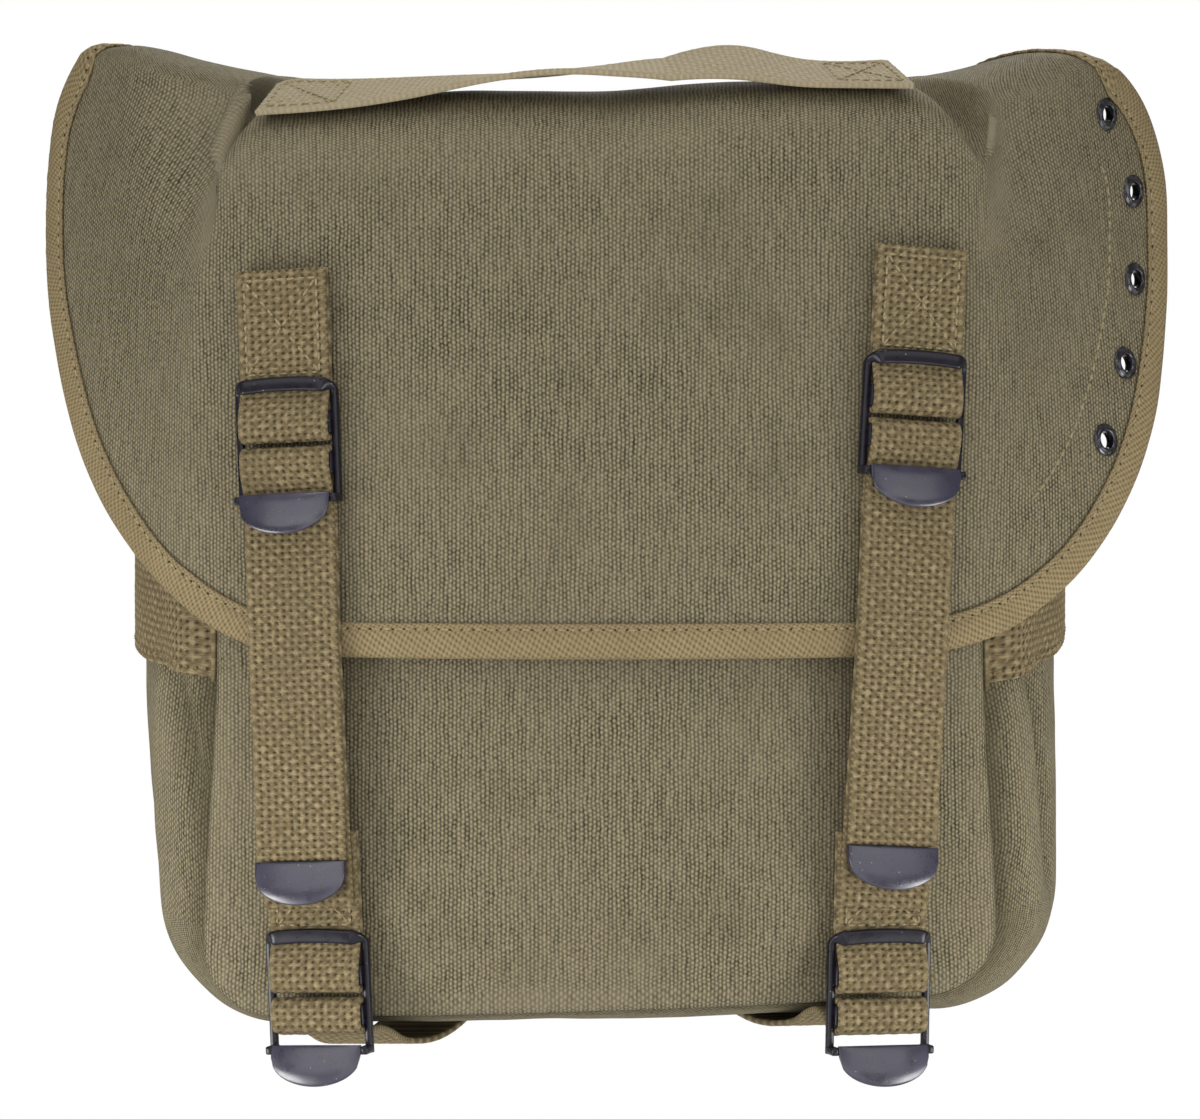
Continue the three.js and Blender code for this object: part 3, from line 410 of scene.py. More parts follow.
# dents in the cloth, wide and fine: depth and size of each; puckers beside a seam: depth and reach
dents = {
    "front": {"deep": 0.9, "wide": 38, "fine": 0.35, "narrow": 14, "pucker": 0.35, "puckerReach": 12},
    "gusset": {"deep": 0.5, "wide": 30, "fine": 0.25, "narrow": 12, "pucker": 0.4, "puckerReach": 14},
    "back": {"deep": 0.25, "wide": 45, "fine": 0.12, "narrow": 15},
    "flap": {"deep": 0.7, "wide": 42, "fine": 0.3, "narrow": 15},
}
# folds that run down the gusset's sides: side, share across it low and high, width, depth, low and high end
sideFolds = [
    (-1, 0.09, 0.24, 0.05, 4.2, 48, 92), (-1, 0.34, 0.3, 0.09, -2.4, 18, 84), (-1, 0.14, 0.12, 0.05, 2.2, 8, 46),
    (1, 0.36, 0.26, 0.05, 4.4, 36, 92), (1, 0.2, 0.2, 0.08, -2.2, 24, 84), (1, 0.12, 0.16, 0.06, 2.4, 2, 34),
]


def dentDepth(cloth, wideSpot, fineSpot):
    dent = dents[cloth]
    wide = dent["deep"] * (1 + ripple(*wideSpot, dent["wide"]))
    return wide + dent["fine"] * (1 + ripple(*fineSpot, dent["narrow"]))


def puckerDepth(cloth, toSeam, phase):
    dent = dents[cloth]
    return dent["pucker"] * max(0, 1 - toSeam / dent["puckerReach"]) * (1 + math.sin(phase))


def panelHalf(panel, z):
    side = panel["half"] + panel["flare"] * (1 - ease(10, 100, z))
    below = max(0, panel["foot"] + panel["corner"] - z)
    return side - panel["corner"] + math.sqrt(max(0, panel["corner"] ** 2 - below ** 2))


def frontY(x, z):
    level = min(z, frontCut["mouth"])
    up = min(1, max(0, level - frontCut["foot"]) / crown["footRound"])
    foot = crown["footShare"] + (1 - crown["footShare"]) * (1 - (1 - up) ** 2)
    past = max(0, level - crown["fullAt"]) / (frontCut["mouth"] - crown["fullAt"])
    share = 1 - (abs(x) / panelHalf(frontCut, level)) ** crown["power"]
    return frontCut["seamY"] - canvasThick - crown["out"] * share * foot * (1 - crown["topLoss"] * past ** 1.5)


def tilted(x, z):
    return footTilt * x * (1 - ease(0, 70, z))


def rowHeight(panel, share, cornerShare=0.2):
    if share <= cornerShare:
        return panel["foot"] + panel["corner"] * (1 - math.cos(share / cornerShare * math.pi / 2))
    return lerp(panel["foot"] + panel["corner"], panel["mouth"], (share - cornerShare) / (1 - cornerShare))


# distance from the front's seam, and the way out across it
def frontRim(x, z):
    half = panelHalf(frontCut, z)
    side = math.copysign(1, x)
    pastX = abs(x) - frontCut["half"] - frontCut["flare"] * (1 - ease(10, 100, z)) + frontCut["corner"]
    pastZ = frontCut["foot"] + frontCut["corner"] - z
    if pastX > 0 and pastZ > 0:
        away = math.hypot(pastX, pastZ)
        return frontCut["corner"] - away, Vector((side * pastX, 0, -pastZ)) / away
    if half - abs(x) < z - frontCut["foot"]:
        return half - abs(x), Vector((side, 0, 0))
    return z - frontCut["foot"], Vector((0, 0, -1))


def frontSpot(a, b):
    z = rowHeight(frontCut, b)
    x = panelHalf(frontCut, z) * math.sin(1.4 * (2 * a - 1)) / math.sin(1.4)
    toSeam, rim = frontRim(x, z)
    edge = clamp(1 - toSeam / seamRoll["width"])
    roll = seamRoll["deep"] * (1 - math.sqrt(1 - edge * edge))
    bulge = seamRoll["out"] * math.sin(math.pi * edge) - seamRoll["tuck"] * edge ** 3
    pucker = puckerDepth("front", toSeam, z * 0.9 + 3 * ripple(x, 0, z, 30))
    dent = dentDepth("front", (x, 3, z), (x, 9, z))
    y = frontY(x, z) + roll + pucker + dent * ease(0, 20, toSeam)
    # paler wear along the rolled rim; painted shade in the crease at the seam
    wearAndShading = 0.3 * bell(toSeam, 6, 2.5) * (0.6 + 0.4 * ripple(x, 1, z, 9)) - 0.9 * bell(toSeam, 0, 2.2)
    return Vector((x, y, z + tilted(x, z))) + rim * bulge, x, z, wearAndShading


def outline(panel, t):
    footShare, cornerShare = 0.22, 0.5
    side = -1 if t < 0.5 else 1
    h = abs(2 * t - 1)
    straight = panel["half"] + panel["flare"] - panel["corner"]
    if h < footShare:
        return side * straight * h / footShare, panel["foot"], Vector((0, 0, -1))
    turn = min(1, (h - footShare) / (cornerShare - footShare)) * math.pi / 2
    climb = max(0, (h - cornerShare) / (1 - cornerShare))
    z = panel["foot"] + panel["corner"] * (1 - math.cos(turn))
    z += climb * (frontCut["mouth"] - panel["foot"] - panel["corner"])
    return side * panelHalf(panel, z), z, Vector((side * math.sin(turn), 0, -math.cos(turn)))


def foldDepth(x, level, w):
    depths = 0
    for side, lowAt, highAt, width, depth, lowEnd, highEnd in sideFolds:
        if side * x > 0:
            at = lerp(lowAt, highAt, clamp((level - lowEnd) / (highEnd - lowEnd)))
            reach = ease(lowEnd - 14, lowEnd + 14, level) * (1 - ease(highEnd - 14, highEnd + 14, level))
            depths += depth * reach * bell(w, at, width) * ease(0, 0.04, w) * ease(0, 0.3, 1 - w)
    return depths


def gussetPoint(t, w):
    frontX, frontZ, out = outline(frontCut, t)
    backX, backZ, _ = outline(backCut, t)
    level = lerp(frontZ, backZ, w)
    upright = abs(out.x)
    low = lerp(puff["lowLeft"] if frontX < 0 else puff["lowRight"], 1, ease(10, 90, level))
    high = lerp(1, puff["mouthShare"], ease(120, frontCut["mouth"], level))
    swell = lerp(puff["foot"], puff["side"] * low * high, upright) * math.sin(math.pi * w)
    swell -= seamRoll["tuck"] * max(0, 1 - w / 0.07) ** 2
    crease = lerp(seamRoll["creaseFoot"], seamRoll["creaseSide"], upright)
    swell -= crease * bell(w, 0.055, 0.045) * ease(0, 0.02, w)
    y = lerp(frontY(frontX, frontZ) + seamRoll["deep"] + canvasThick + gap, -canvasThick - gap, w)
    point = Vector((lerp(frontX, backX, w), y, level + tilted(frontX, frontZ) * (1 - w)))
    return point + out * (swell - upright * foldDepth(frontX, level, w))


def gussetSpot(w, t):
    point = gussetPoint(t, w)
    out = outline(frontCut, t)[2]
    seam = min(w, 1 - w) * 100
    turned = max(0, 1 - seam / 3.2) ** 2
    pucker = puckerDepth("gusset", seam, point.z * 0.8 + point.x * 0.5)
    dent = dentDepth("gusset", (point.x, point.y, point.z), (point.y, point.z, point.x))
    point -= out * (1.2 * turned + pucker + dent * ease(0, 14, seam))
    fold = foldDepth(point.x, point.z, w) * abs(out.x)
    # paler wear along the back seam; painted shade in the crease beside the front seam and in the fold hollows;
    # painted light on the fold ridges
    wearAndShading = 0.12 * bell(1 - w, 0.04, 0.03) - 0.95 * bell(w, 0.05, 0.055) - 0.11 * max(0, fold) + 0.1 * max(0, -fold)
    return point, w * 108, (t - 0.5) * 690, wearAndShading


def backSpot(a, b):
    z = rowHeight(backCut, b)
    x = panelHalf(backCut, z) * (1 - 2 * a)
    seam = min(panelHalf(backCut, z) - abs(x), z - backCut["foot"] + 0.01)
    dent = dentDepth("back", (x, 5, z), (x, 8, z))
    y = -dent * ease(0, 12, seam) - 0.9 * max(0, 1 - seam / 3) ** 2
    return Vector((x, y, z)), x, z, 0.25 * bell(seam, 3, 2.5)


frontSheet = clothSheet(110, 120, frontSpot, measured=True)
frontPanel = finishPiece(frontSheet, "frontPanel", [duckCloth], "canvas", "front_panel")
gussetSheet = clothSheet(70, 280, gussetSpot, measured=True)
gusset = finishPiece(gussetSheet, "gussetCloth", [duckCloth], "canvas", "gusset")
backPanel = finishPiece(clothSheet(80, 90, backSpot), "backPanel", [duckCloth], "canvas", "back_panel")
for panel in (frontPanel, gusset, backPanel):
    thicken(panel, canvasThick)
print("body: front panel, gusset and back panel")


# Flap

flapCut = {
    "thick": 1.4, "standoff": 4.3, "hem": 97, "hemHalf": 75, "fold": 231, "foldLift": 95, "earLift": 40,
    "topSag": 3, "topLong": 122, "seamHalf": 118, "seamY": -4, "seamZ": 246, "seamRise": 10,
    "lapRound": 6, "lapEnd": 216, "lapLong": 40, "columns": 230, "rows": 180, "frontRows": 0.47, "topRows": 0.86,
}
leftWing = {
    "side": -1, "crease": 108, "creaseLow": 112, "bend": 6, "angleHigh": 54, "angleLow": 42, "half": 154.3,
    "widest": 215, "power": 2.05, "earX": 128, "earZ": 215, "earHeight": 49.5, "earPower": 2.3, "ear": 26,
    "roll": 3, "lean": 19, "dip": 5, "dipAt": 107, "dipWidth": 8, "brow": -3.5, "browFrom": 30, "browTo": 95,
}
rightWing = {
    "side": 1, "crease": 99, "creaseLow": 105, "bend": 28, "angleHigh": 46, "angleLow": 34, "half": 157,
    "widest": 205, "power": 2.3, "earX": 110, "earZ": 210, "earHeight": 52.5, "earPower": 2.5, "ear": 23,
    "roll": 14, "lean": 5, "dip": 7, "dipAt": 104, "dipWidth": 7, "brow": 3.5, "browFrom": 0, "browTo": 40,
}


def wingOf(q):
    return leftWing if q < 0 else rightWing


def wingHalf(wing, z):
    if z > wing["earZ"]:
        up = min(1, (z - wing["earZ"]) / wing["earHeight"])
        return wing["earX"] + (wing["half"] - wing["earX"]) * (1 - up ** wing["earPower"]) ** (1 / wing["earPower"])
    down = clamp((wing["widest"] - z) / (wing["widest"] - flapCut["hem"]))
    reach = wing["half"] - flapCut["hemHalf"]
    return flapCut["hemHalf"] + reach * (1 - down ** wing["power"]) ** (1 / wing["power"])


def wingTurn(wing, z):
    crease = lerp(wing["creaseLow"], wing["crease"], ease(120, 190, z))
    start = math.atan(frontY(crease + 0.5, z) - frontY(crease - 0.5, z))
    end = max(start, math.radians(lerp(wing["angleLow"], wing["angleHigh"], ease(100, 210, z))))
    return crease, start, end, wing["bend"] * (end - start)


def wingReach(wing, z):
    crease, start, end, length = wingTurn(wing, z)
    out = wingHalf(wing, z) - crease
    if out <= 0:
        return crease + out
    arcX = wing["bend"] * (math.sin(end) - math.sin(start))
    if out >= arcX:
        return crease + length + (out - arcX) / math.cos(end)
    return crease + wing["bend"] * (math.asin(math.sin(start) + out / wing["bend"]) - start)


def flapFront(q, z):
    wing = wingOf(q)
    crease, start, end, length = wingTurn(wing, z)
    along = abs(q) - crease
    if along <= 0:
        return Vector((q, frontY(q, z) - flapCut["standoff"], z))
    y = frontY(crease, z) - flapCut["standoff"]
    turned = start + min(along, length) / wing["bend"]
    arcX = wing["bend"] * (math.sin(turned) - math.sin(start))
    arcY = wing["bend"] * (math.cos(start) - math.cos(turned))
    rest = max(0, along - length)
    x = crease + arcX + rest * math.cos(end)
    return Vector((wing["side"] * x, y + arcY + rest * math.sin(end), z))


def foldRise(q):
    wing = wingOf(q)
    across = abs(q)
    past = across - wing["dipAt"]
    rise = wing["ear"] * (0.5 * ease(0, 11, past) + 0.5 * ease(6, 44, past))
    brow = wing["brow"] * ease(wing["browFrom"], wing["browTo"], across) * (1 - ease(-6, 8, past))
    return rise + brow - wing["dip"] * bell(across, wing["dipAt"], wing["dipWidth"])


def flapThread(s, t):
    wing = wingOf(s)
    level = lerp(flapCut["hem"], flapCut["fold"], min(1, t))
    lifted = ease(0.5, 1, min(1, t))
    return s * wingReach(wing, level + wing["ear"] * lifted), level, lifted


def flapPoint(s, t):
    q, level, lifted = flapThread(s, t)
    front = flapFront(q, level + foldRise(q) * lifted)
    wing = wingOf(q)
    front.x -= wing["side"] * wing["lean"] * bell(abs(q) - wing["dipAt"], 12, 10) * ease(0.7, 1, t)
    if t <= 1:
        return front
    corner = bell(abs(s), 0.8, 0.3)
    seam = Vector((flapCut["seamHalf"] * s, flapCut["seamY"], flapCut["seamZ"] + flapCut["seamRise"] * corner))
    if t <= 2:
        u = t - 1
        span = (front - seam).length
        sag = flapCut["topSag"] * math.sin(math.pi * u) * (1 - s * s)
        point = front * ((1 + 2 * u) * (1 - u) ** 2) + seam * (u * u * (3 - 2 * u))
        lift = lerp(flapCut["foldLift"], flapCut["earLift"], ease(0.52, 0.7, abs(s)))
        point.z += lift * u * (1 - u) ** 2 - sag
        point.y += span * u * u * (u - 1)
        point.x -= wing["side"] * wing["roll"] * s ** 4 * 4 * u * (1 - u)
        return point
    turn = min(1, (t - 2) / 0.6) * math.pi / 2
    drop = max(0, (t - 2.6) / 0.4)
    low = seam.z - flapCut["lapRound"] * (1 - math.cos(turn))
    return Vector((seam.x, seam.y + flapCut["lapRound"] * math.sin(turn), lerp(low, flapCut["lapEnd"], drop)))


# the hanging cloth's small dents, always inwards so that straps and tape lie clear
def flapDent(q, v):
    return dentDepth("flap", (q, 4, v), (q, 7, v)) * ease(100, 112, v)


def flapSpot(a, b):
    s = 2 * a - 1
    if b < flapCut["frontRows"]:
        t = b / flapCut["frontRows"]
    elif b < flapCut["topRows"]:
        t = 1 + (b - flapCut["frontRows"]) / (flapCut["topRows"] - flapCut["frontRows"])
    else:
        t = 2 + (b - flapCut["topRows"]) / (1 - flapCut["topRows"])
    point = flapPoint(s, t)
    q, level, lifted = flapThread(s, t)
    v = lerp(level + foldRise(q) * lifted, flapCut["fold"] + flapCut["topLong"], clamp(t - 1))
    v += flapCut["lapLong"] * max(0, t - 2)
    d = 0.004
    across = flapPoint(s + d, t) - flapPoint(s - d, t)
    along = flapPoint(s, t + d) - flapPoint(s, max(0, t - d))
    inwards = -across.cross(along).normalized()
    point += inwards * flapDent(q, v) * (1 - ease(1.9, 2, t))
    wing = wingOf(q)
    wearAndShading = 0.25 * bell(t, 1, 0.06) + 0.15 * bell(abs(q), wing["crease"] + 4, 5) * (1 - ease(0.8, 1, t))
    # painted light on each ear's flank where it leans over the valley
    wearAndShading += 0.9 * bell(abs(q) - wing["dipAt"], 6, 7) * ease(0.76, 0.88, t) * (1 - ease(1, 1.2, t))
    return point, q, v, wearAndShading * (0.6 + 0.6 * ripple(q, 2, v, 11))


eyelets = {
    "count": 5, "pitch": 23.9, "inset": 13.7, "topInset": 12.7, "lowest": 145.5, "hole": 2.4, "flange": 4.5,
    "punch": 2.1, "stitchInset": 25, "stitchLow": 118, "stitchHigh": 244,
}


def insideEdge(wing, z, inset):
    slope = (wingReach(wing, z + 1) - wingReach(wing, z - 1)) / 2
    size = math.hypot(1, slope)
    return Vector((wingReach(wing, z) - inset / size, z + inset * slope / size))


def eyeletSeats():
    seats = []
    last = None
    z = eyelets["lowest"]
    while len(seats) < eyelets["count"]:
        spot = insideEdge(rightWing, z, lerp(eyelets["inset"], eyelets["topInset"], ease(225, 250, z)))
        if last is None or (spot - last).length >= eyelets["pitch"]:
            last = spot
            seats.append(flapFront(spot.x, spot.y))
        z += 0.25
    return seats


flapMesh = clothSheet(flapCut["columns"], flapCut["rows"], flapSpot, measured=True)
flapMesh.normal_update()
flapTree = BVHTree.FromBMesh(flapMesh)


# nearest spot of the flap's outer face to a point, with the face's direction there
def onFlap(point):
    spot, normal, _, _ = flapTree.find_nearest(toFrame(point))
    return spot * 1000 + Vector((0, 0, beltHeight)), normal


seats = [onFlap(point) for point in eyeletSeats()]
punched = [vert for vert in flapMesh.verts
           if any((vert.co - toFrame(point)).length < eyelets["punch"] * 0.001 for point, _ in seats)]
bmesh.ops.delete(flapMesh, geom=punched, context="VERTS")
flap = finishPiece(flapMesh, "flapCloth", [duckCloth], "canvas", "flap")
thicken(flap, flapCut["thick"])
print("flap: wings, ears and top")


# Eyelets: rolled rims on both faces, spun from one profile

def makeEyelet(k, point, normal):
    hole, flange = eyelets["hole"], eyelets["flange"]
    back = -flapCut["thick"] - 0.15
    profile = [
        (hole, back), (hole + 0.2, back - 0.6), (hole + 0.9, back - 0.75), (flange - 0.6, back - 0.55),
        (flange, back), (flange, back + 0.05), (hole + 0.5, back + 0.1), (hole + 0.5, 0.1),
        (flange - 0.05, 0.12), (flange, 0.28), (flange - 0.35, 0.5), (flange - 0.9, 0.62),
        (hole + 1.1, 0.95), (hole + 0.65, 1.08), (hole + 0.25, 0.95), (hole, 0.6),
    ]
    bm = bmesh.new()
    ring = [bm.verts.new((r, 0, h)) for r, h in profile]
    edges = [bm.edges.new((ring[m - 1], ring[m])) for m in range(len(ring))]
    bmesh.ops.spin(bm, geom=ring + edges, axis=(0, 0, 1), cent=(0, 0, 0), angle=2 * math.pi, steps=28,
                   use_merge=True)
    bmesh.ops.remove_doubles(bm, verts=bm.verts, dist=1e-4)
    bmesh.ops.recalc_face_normals(bm, faces=bm.faces)
    turn = normal.to_track_quat("Z", "Y").to_matrix().to_4x4()
    move = Matrix.Translation(toFrame(point)) @ turn @ Matrix.Scale(0.001, 4)
    bmesh.ops.transform(bm, matrix=move, verts=bm.verts)
    return finishPiece(bm, f"eyelet{k + 1}", [eyeletSteel], "black_steel", f"eyelet_{k + 1}")


eyeletPieces = [makeEyelet(k, point, normal) for k, (point, normal) in enumerate(seats)]
print("eyelets:", len(eyeletPieces))


# Binding: a folded tape round the flap's edge, from the back seam down a wing, along the hem and up again

bindingTape = {"reach": 8.4, "over": 1.05, "thick": 0.75, "step": 1.6, "stitchIn": 6.7}


def edgeSpot(s, t):
    a = (s + 1) / 2
    if t <= 1:
        b = t * flapCut["frontRows"]
    else:
        b = lerp(flapCut["frontRows"], flapCut["topRows"], t - 1)
    return flapSpot(a, b)[0]


def bindingLine():
    rough = [edgeSpot(-1, 1.9 * (1 - k / 160)) for k in range(160)]
    rough += [edgeSpot(-1 + 2 * k / 200, 0) for k in range(200)]
    rough += [edgeSpot(1, 1.9 * k / 160) for k in range(161)]
    return evenly(rough, bindingTape["step"])


# points set out along a path at equal steps
def evenly(points, step):
    lengths = [0]
    for before, after in zip(points, points[1:]):
        lengths.append(lengths[-1] + (after - before).length)
    count = max(2, round(lengths[-1] / step))
    made = []
    k = 0
    for m in range(count + 1):
        want = lengths[-1] * m / count
        while k < len(points) - 2 and lengths[k + 1] < want:
            k += 1
        share = (want - lengths[k]) / max(1e-9, lengths[k + 1] - lengths[k])
        made.append(points[k].lerp(points[k + 1], clamp(share)))
    return made


edgeLine = bindingLine()


def edgeFrame(k):
    tangent = (edgeLine[min(k + 1, len(edgeLine) - 1)] - edgeLine[max(k - 1, 0)]).normalized()
    normal = onFlap(edgeLine[k])[1]
    return normal, normal.cross(tangent).normalized()


edgeFrames = [edgeFrame(k) for k in range(len(edgeLine))]
# the tape's section: how far in from the edge, and on which face (1 outer, -1 inner, between for the round)
tapeSection = [(d, 1) for d in (bindingTape["reach"], 7.9, 7.3, 6.7, 6.1, 5.2, 4.2, 3.2, 2.2, 1.2, 0.3)]
tapeSection += [(-0.55, 0.75), (-0.95, 0), (-0.55, -0.75)]
tapeSection += [(d, -1) for d in (0.3, 1.6, 3.2, 4.8, 6.4, bindingTape["reach"])]


def tapeSpot(a, b):
    k = round(a * (len(edgeLine) - 1))
    m = round(b * (len(tapeSection) - 1))
    depth, face = tapeSection[m]
    normal, inwards = edgeFrames[k]
    half = flapCut["thick"] / 2
    if depth > 0:
        spot, normal = onFlap(edgeLine[k] + inwards * depth)
        wave = 0.12 * math.sin(k * 1.9) + 0.1 * ripple(k * bindingTape["step"], depth, 0, 6)
        sunk = 0.4 * bell(depth, bindingTape["stitchIn"], 0.5) + 0.3 * bell(depth, bindingTape["reach"], 0.5)
        over = bindingTape["over"] + wave - sunk + 0.25 * bell(depth, 3.4, 2.4)
        point = spot + normal * (over if face > 0 else -flapCut["thick"] - bindingTape["over"])
    else:
        point = edgeLine[k] - inwards * -depth - normal * half + normal * face * (half + bindingTape["over"])
    return point, k * bindingTape["step"], m * 1.1, 0


bindingMesh = clothSheet(len(edgeLine) - 1, len(tapeSection) - 1, tapeSpot)
bmesh.ops.reverse_faces(bindingMesh, faces=bindingMesh.faces)
binding = finishPiece(bindingMesh, "flapBinding", [tapeCloth], "binding_tape", "flap_binding")
thicken(binding, bindingTape["thick"])
print("binding:", len(edgeLine), "steps")


# Webbing: a rounded section drawn along a path, with the weave's lumps and pits on its outer face

web = {"width": 25, "thick": 1.7, "fine": 0.44, "coarse": 1.3, "columns": 48}


def weaveRelief(u, v):
    ju = u + 0.2 * ripple(u, v, 1, 7)
    jv = v + 0.25 * ripple(u, v, 5, 6)
    pit = (0.5 + 0.5 * math.cos(2 * math.pi * ju / webYarn["across"]))
    pit *= 0.5 + 0.5 * math.cos(2 * math.pi * jv / webYarn["along"])
    lump = math.sin(math.pi * ju / webYarn["across"]) * math.sin(math.pi * jv / webYarn["along"])
    height = 0.72 + 0.12 * lump - 0.8 * pit ** 2.2 + 0.22 * ripple(u, v, 9, 1.3)
    # the height also goes to the weave attribute, which the colour ramp turns into painted shade in the pits and
    # painted light on the lumps
    return webYarn["deep"] * (height - 0.85), max(0, min(1, height))


def webSection(columns, bothFaces):
    half, thick = web["width"] / 2, web["thick"] / 2
    flatHalf = half - 0.5
    top = [(lerp(flatHalf, -flatHalf, m / columns), thick, 1) for m in range(columns + 1)]
    left = [(-half + 0.12, thick * 0.6, 0), (-half, 0, 0), (-half + 0.12, -thick * 0.6, 0)]
    under = columns if bothFaces else 10
    low = [(lerp(-flatHalf, flatHalf, m / under), -thick, -int(bothFaces)) for m in range(under + 1)]
    right = [(half - 0.12, -thick * 0.6, 0), (half, 0, 0), (half - 0.12, thick * 0.6, 0)]
    return top + left + low + right


# stations are (centre, across, outwards, distance along)
def webbingMesh(stations, bothFaces=False, fadeAndPaintedLight=0):
    section = webSection(web["columns"], bothFaces)
    around = len(section)
    bm = bmesh.new()
    weave = bm.verts.layers.float.new("weave")
    wear_and_painted_shading = bm.verts.layers.float.new("wear_and_painted_shading")
    threads = {}
    for vert, m, k in addGrid(bm, around, len(stations) - 1):
        w, h, woven = section[m % around]
        centre, across, outwards, length = stations[k]
        height = 0.62 + 0.25 * math.cos(2 * math.pi * length / webYarn["along"])
        if woven:
            lift, height = weaveRelief(w, length)
            h += woven * lift * min(1, (web["width"] / 2 - abs(w)) / 1.2)
        elif abs(w) > web["width"] / 2 - 0.4:
            w += math.copysign(0.14 * math.cos(2 * math.pi * length / webYarn["along"]), w)
        vert.co = toFrame(centre + across * w + outwards * h)
        vert[weave] = height
        vert[wear_and_painted_shading] = fadeAndPaintedLight
        threads[vert] = (m * web["width"] / web["columns"], length)
    mapThreads(bm, threads)
    bmesh.ops.remove_doubles(bm, verts=bm.verts, dist=2e-6)
    ends = [edge for edge in bm.edges if edge.is_boundary]
    bmesh.ops.holes_fill(bm, edges=ends, sides=0)
    bmesh.ops.recalc_face_normals(bm, faces=bm.faces)
    return bm


# rounds the corners of a path by cutting them, keeping its ends
def softened(path, times=2):
    for _ in range(times):
        cut = [path[0]]
        for before, after in zip(path, path[1:]):
            cut += [before.lerp(after, 0.25), before.lerp(after, 0.75)]
        path = cut + [path[-1]]
    return path


def stationsOf(matrix, path, facing, hidden=None):
    points = evenly(softened(path), web["fine"])
    stations = []
    length = 0
    skip = round(web["coarse"] / web["fine"])
    turn = matrix.to_3x3()
    for k, point in enumerate(points):
        if k:
            length += (point - points[k - 1]).length
        if hidden and hidden(length) and k % skip and k != len(points) - 1:
            continue
        along = (points[min(k + 1, len(points) - 1)] - points[max(k - 1, 0)]).normalized()
        outwards = turn @ Vector((-along.y, along.x, 0)) * facing
        stations.append((matrix @ Vector((point.x, point.y, 0)), turn @ Vector((0, 0, 1)), outwards, length))
    return stations


# Buckles and straps, drawn in a frame that stands on the cloth: outwards, upwards, across

buckle = {
    "inner": 25.0, "rail": 1.9, "railLow": -2.7, "railHigh": -0.4, "railEnd": 32.5,
    "topBar": 3.8, "topLow": 0.75, "topHigh": 3.0, "arch": 0.8, "corner": 2.6,
    "barOne": (9, 14.6), "barTwo": (19.6, 25.2), "barHalf": 1.2,
    "crossBar": (30.4, 32.6), "crossLow": 1.9, "crossHigh": 3.1,
    "lip": 10.6, "lipSquare": 3.4, "lipTilt": 14, "lipThick": 1.3, "lipCrown": 1.0,
}
standoff = 3.9
tipCut = {"length": 11.7, "square": 4, "thick": 3.6, "grip": 7, "crown": 0.7, "wall": 0.8, "tilt": 9}
straps = {
    "left": {"side": -1, "topX": -83, "topZ": 200, "hemX": -79, "yaw": 18, "bar": 169, "tab": 29, "tipEnd": 31,
             "lowX": -74, "lowRoll": 2.5, "sag": 2.5},
    "right": {"side": 1, "topX": 84, "topZ": 206, "hemX": 78, "yaw": 18, "bar": 176, "tab": 28, "tipEnd": 35,
              "lowX": 73, "lowRoll": 1, "sag": 0},
}
lowBar, lowTab = 24, 26
anchor = {"low": 30, "high": 50}
webThick = 1.8  # with the weave's lumps
wrapRadius = buckle["barHalf"] + gap + webThick / 2
backLayer = -wrapRadius
frontLayer = backLayer + webThick + 0.2


def strapFrame(middle, up, yaw, patch):
    outwards = Vector((math.sin(yaw), -math.cos(yaw), 0))
    outwards -= up * outwards.dot(up)
    outwards.normalize()
    across = outwards.cross(up)
    highest = max((point - middle).dot(outwards) for point in patch)
    made = Matrix((outwards, up, across)).transposed().to_4x4()
    made.translation = middle + outwards * (highest + standoff)
    return made


def underWeb(surface, x, low, high):
    return [surface(x(lerp(low, high, k / 8)) + m * 7.5, lerp(low, high, k / 8))
            for k in range(9) for m in range(-2, 3)]


def onFront(x, z):
    return Vector((x, frontY(x, z), z))


def arc(middle, radius, start, end, steps=10):
    angles = [math.radians(lerp(start, end, k / steps)) for k in range(steps + 1)]
    return [middle + radius * Vector((math.cos(a), math.sin(a))) for a in angles]


def roundBar(bar, end, start, stop):
    level = -bar[0] - buckle["barHalf"] if end == "upper" else -bar[1] + buckle["barHalf"]
    return arc(Vector((0, level)), wrapRadius, start, stop)


def roundedBar(bm, low, high, radius):
    size = Vector(high) - Vector(low)
    move = Matrix.Translation((Vector(low) + Vector(high)) / 2) @ Matrix.Diagonal((*size, 1))
    verts = bmesh.ops.create_cube(bm, size=1, matrix=move)["verts"]
    edges = list(dict.fromkeys(edge for vert in verts for edge in vert.link_edges))
    bmesh.ops.bevel(bm, geom=edges, offset=radius, affect="EDGES", segments=3, profile=0.5, material=-1)


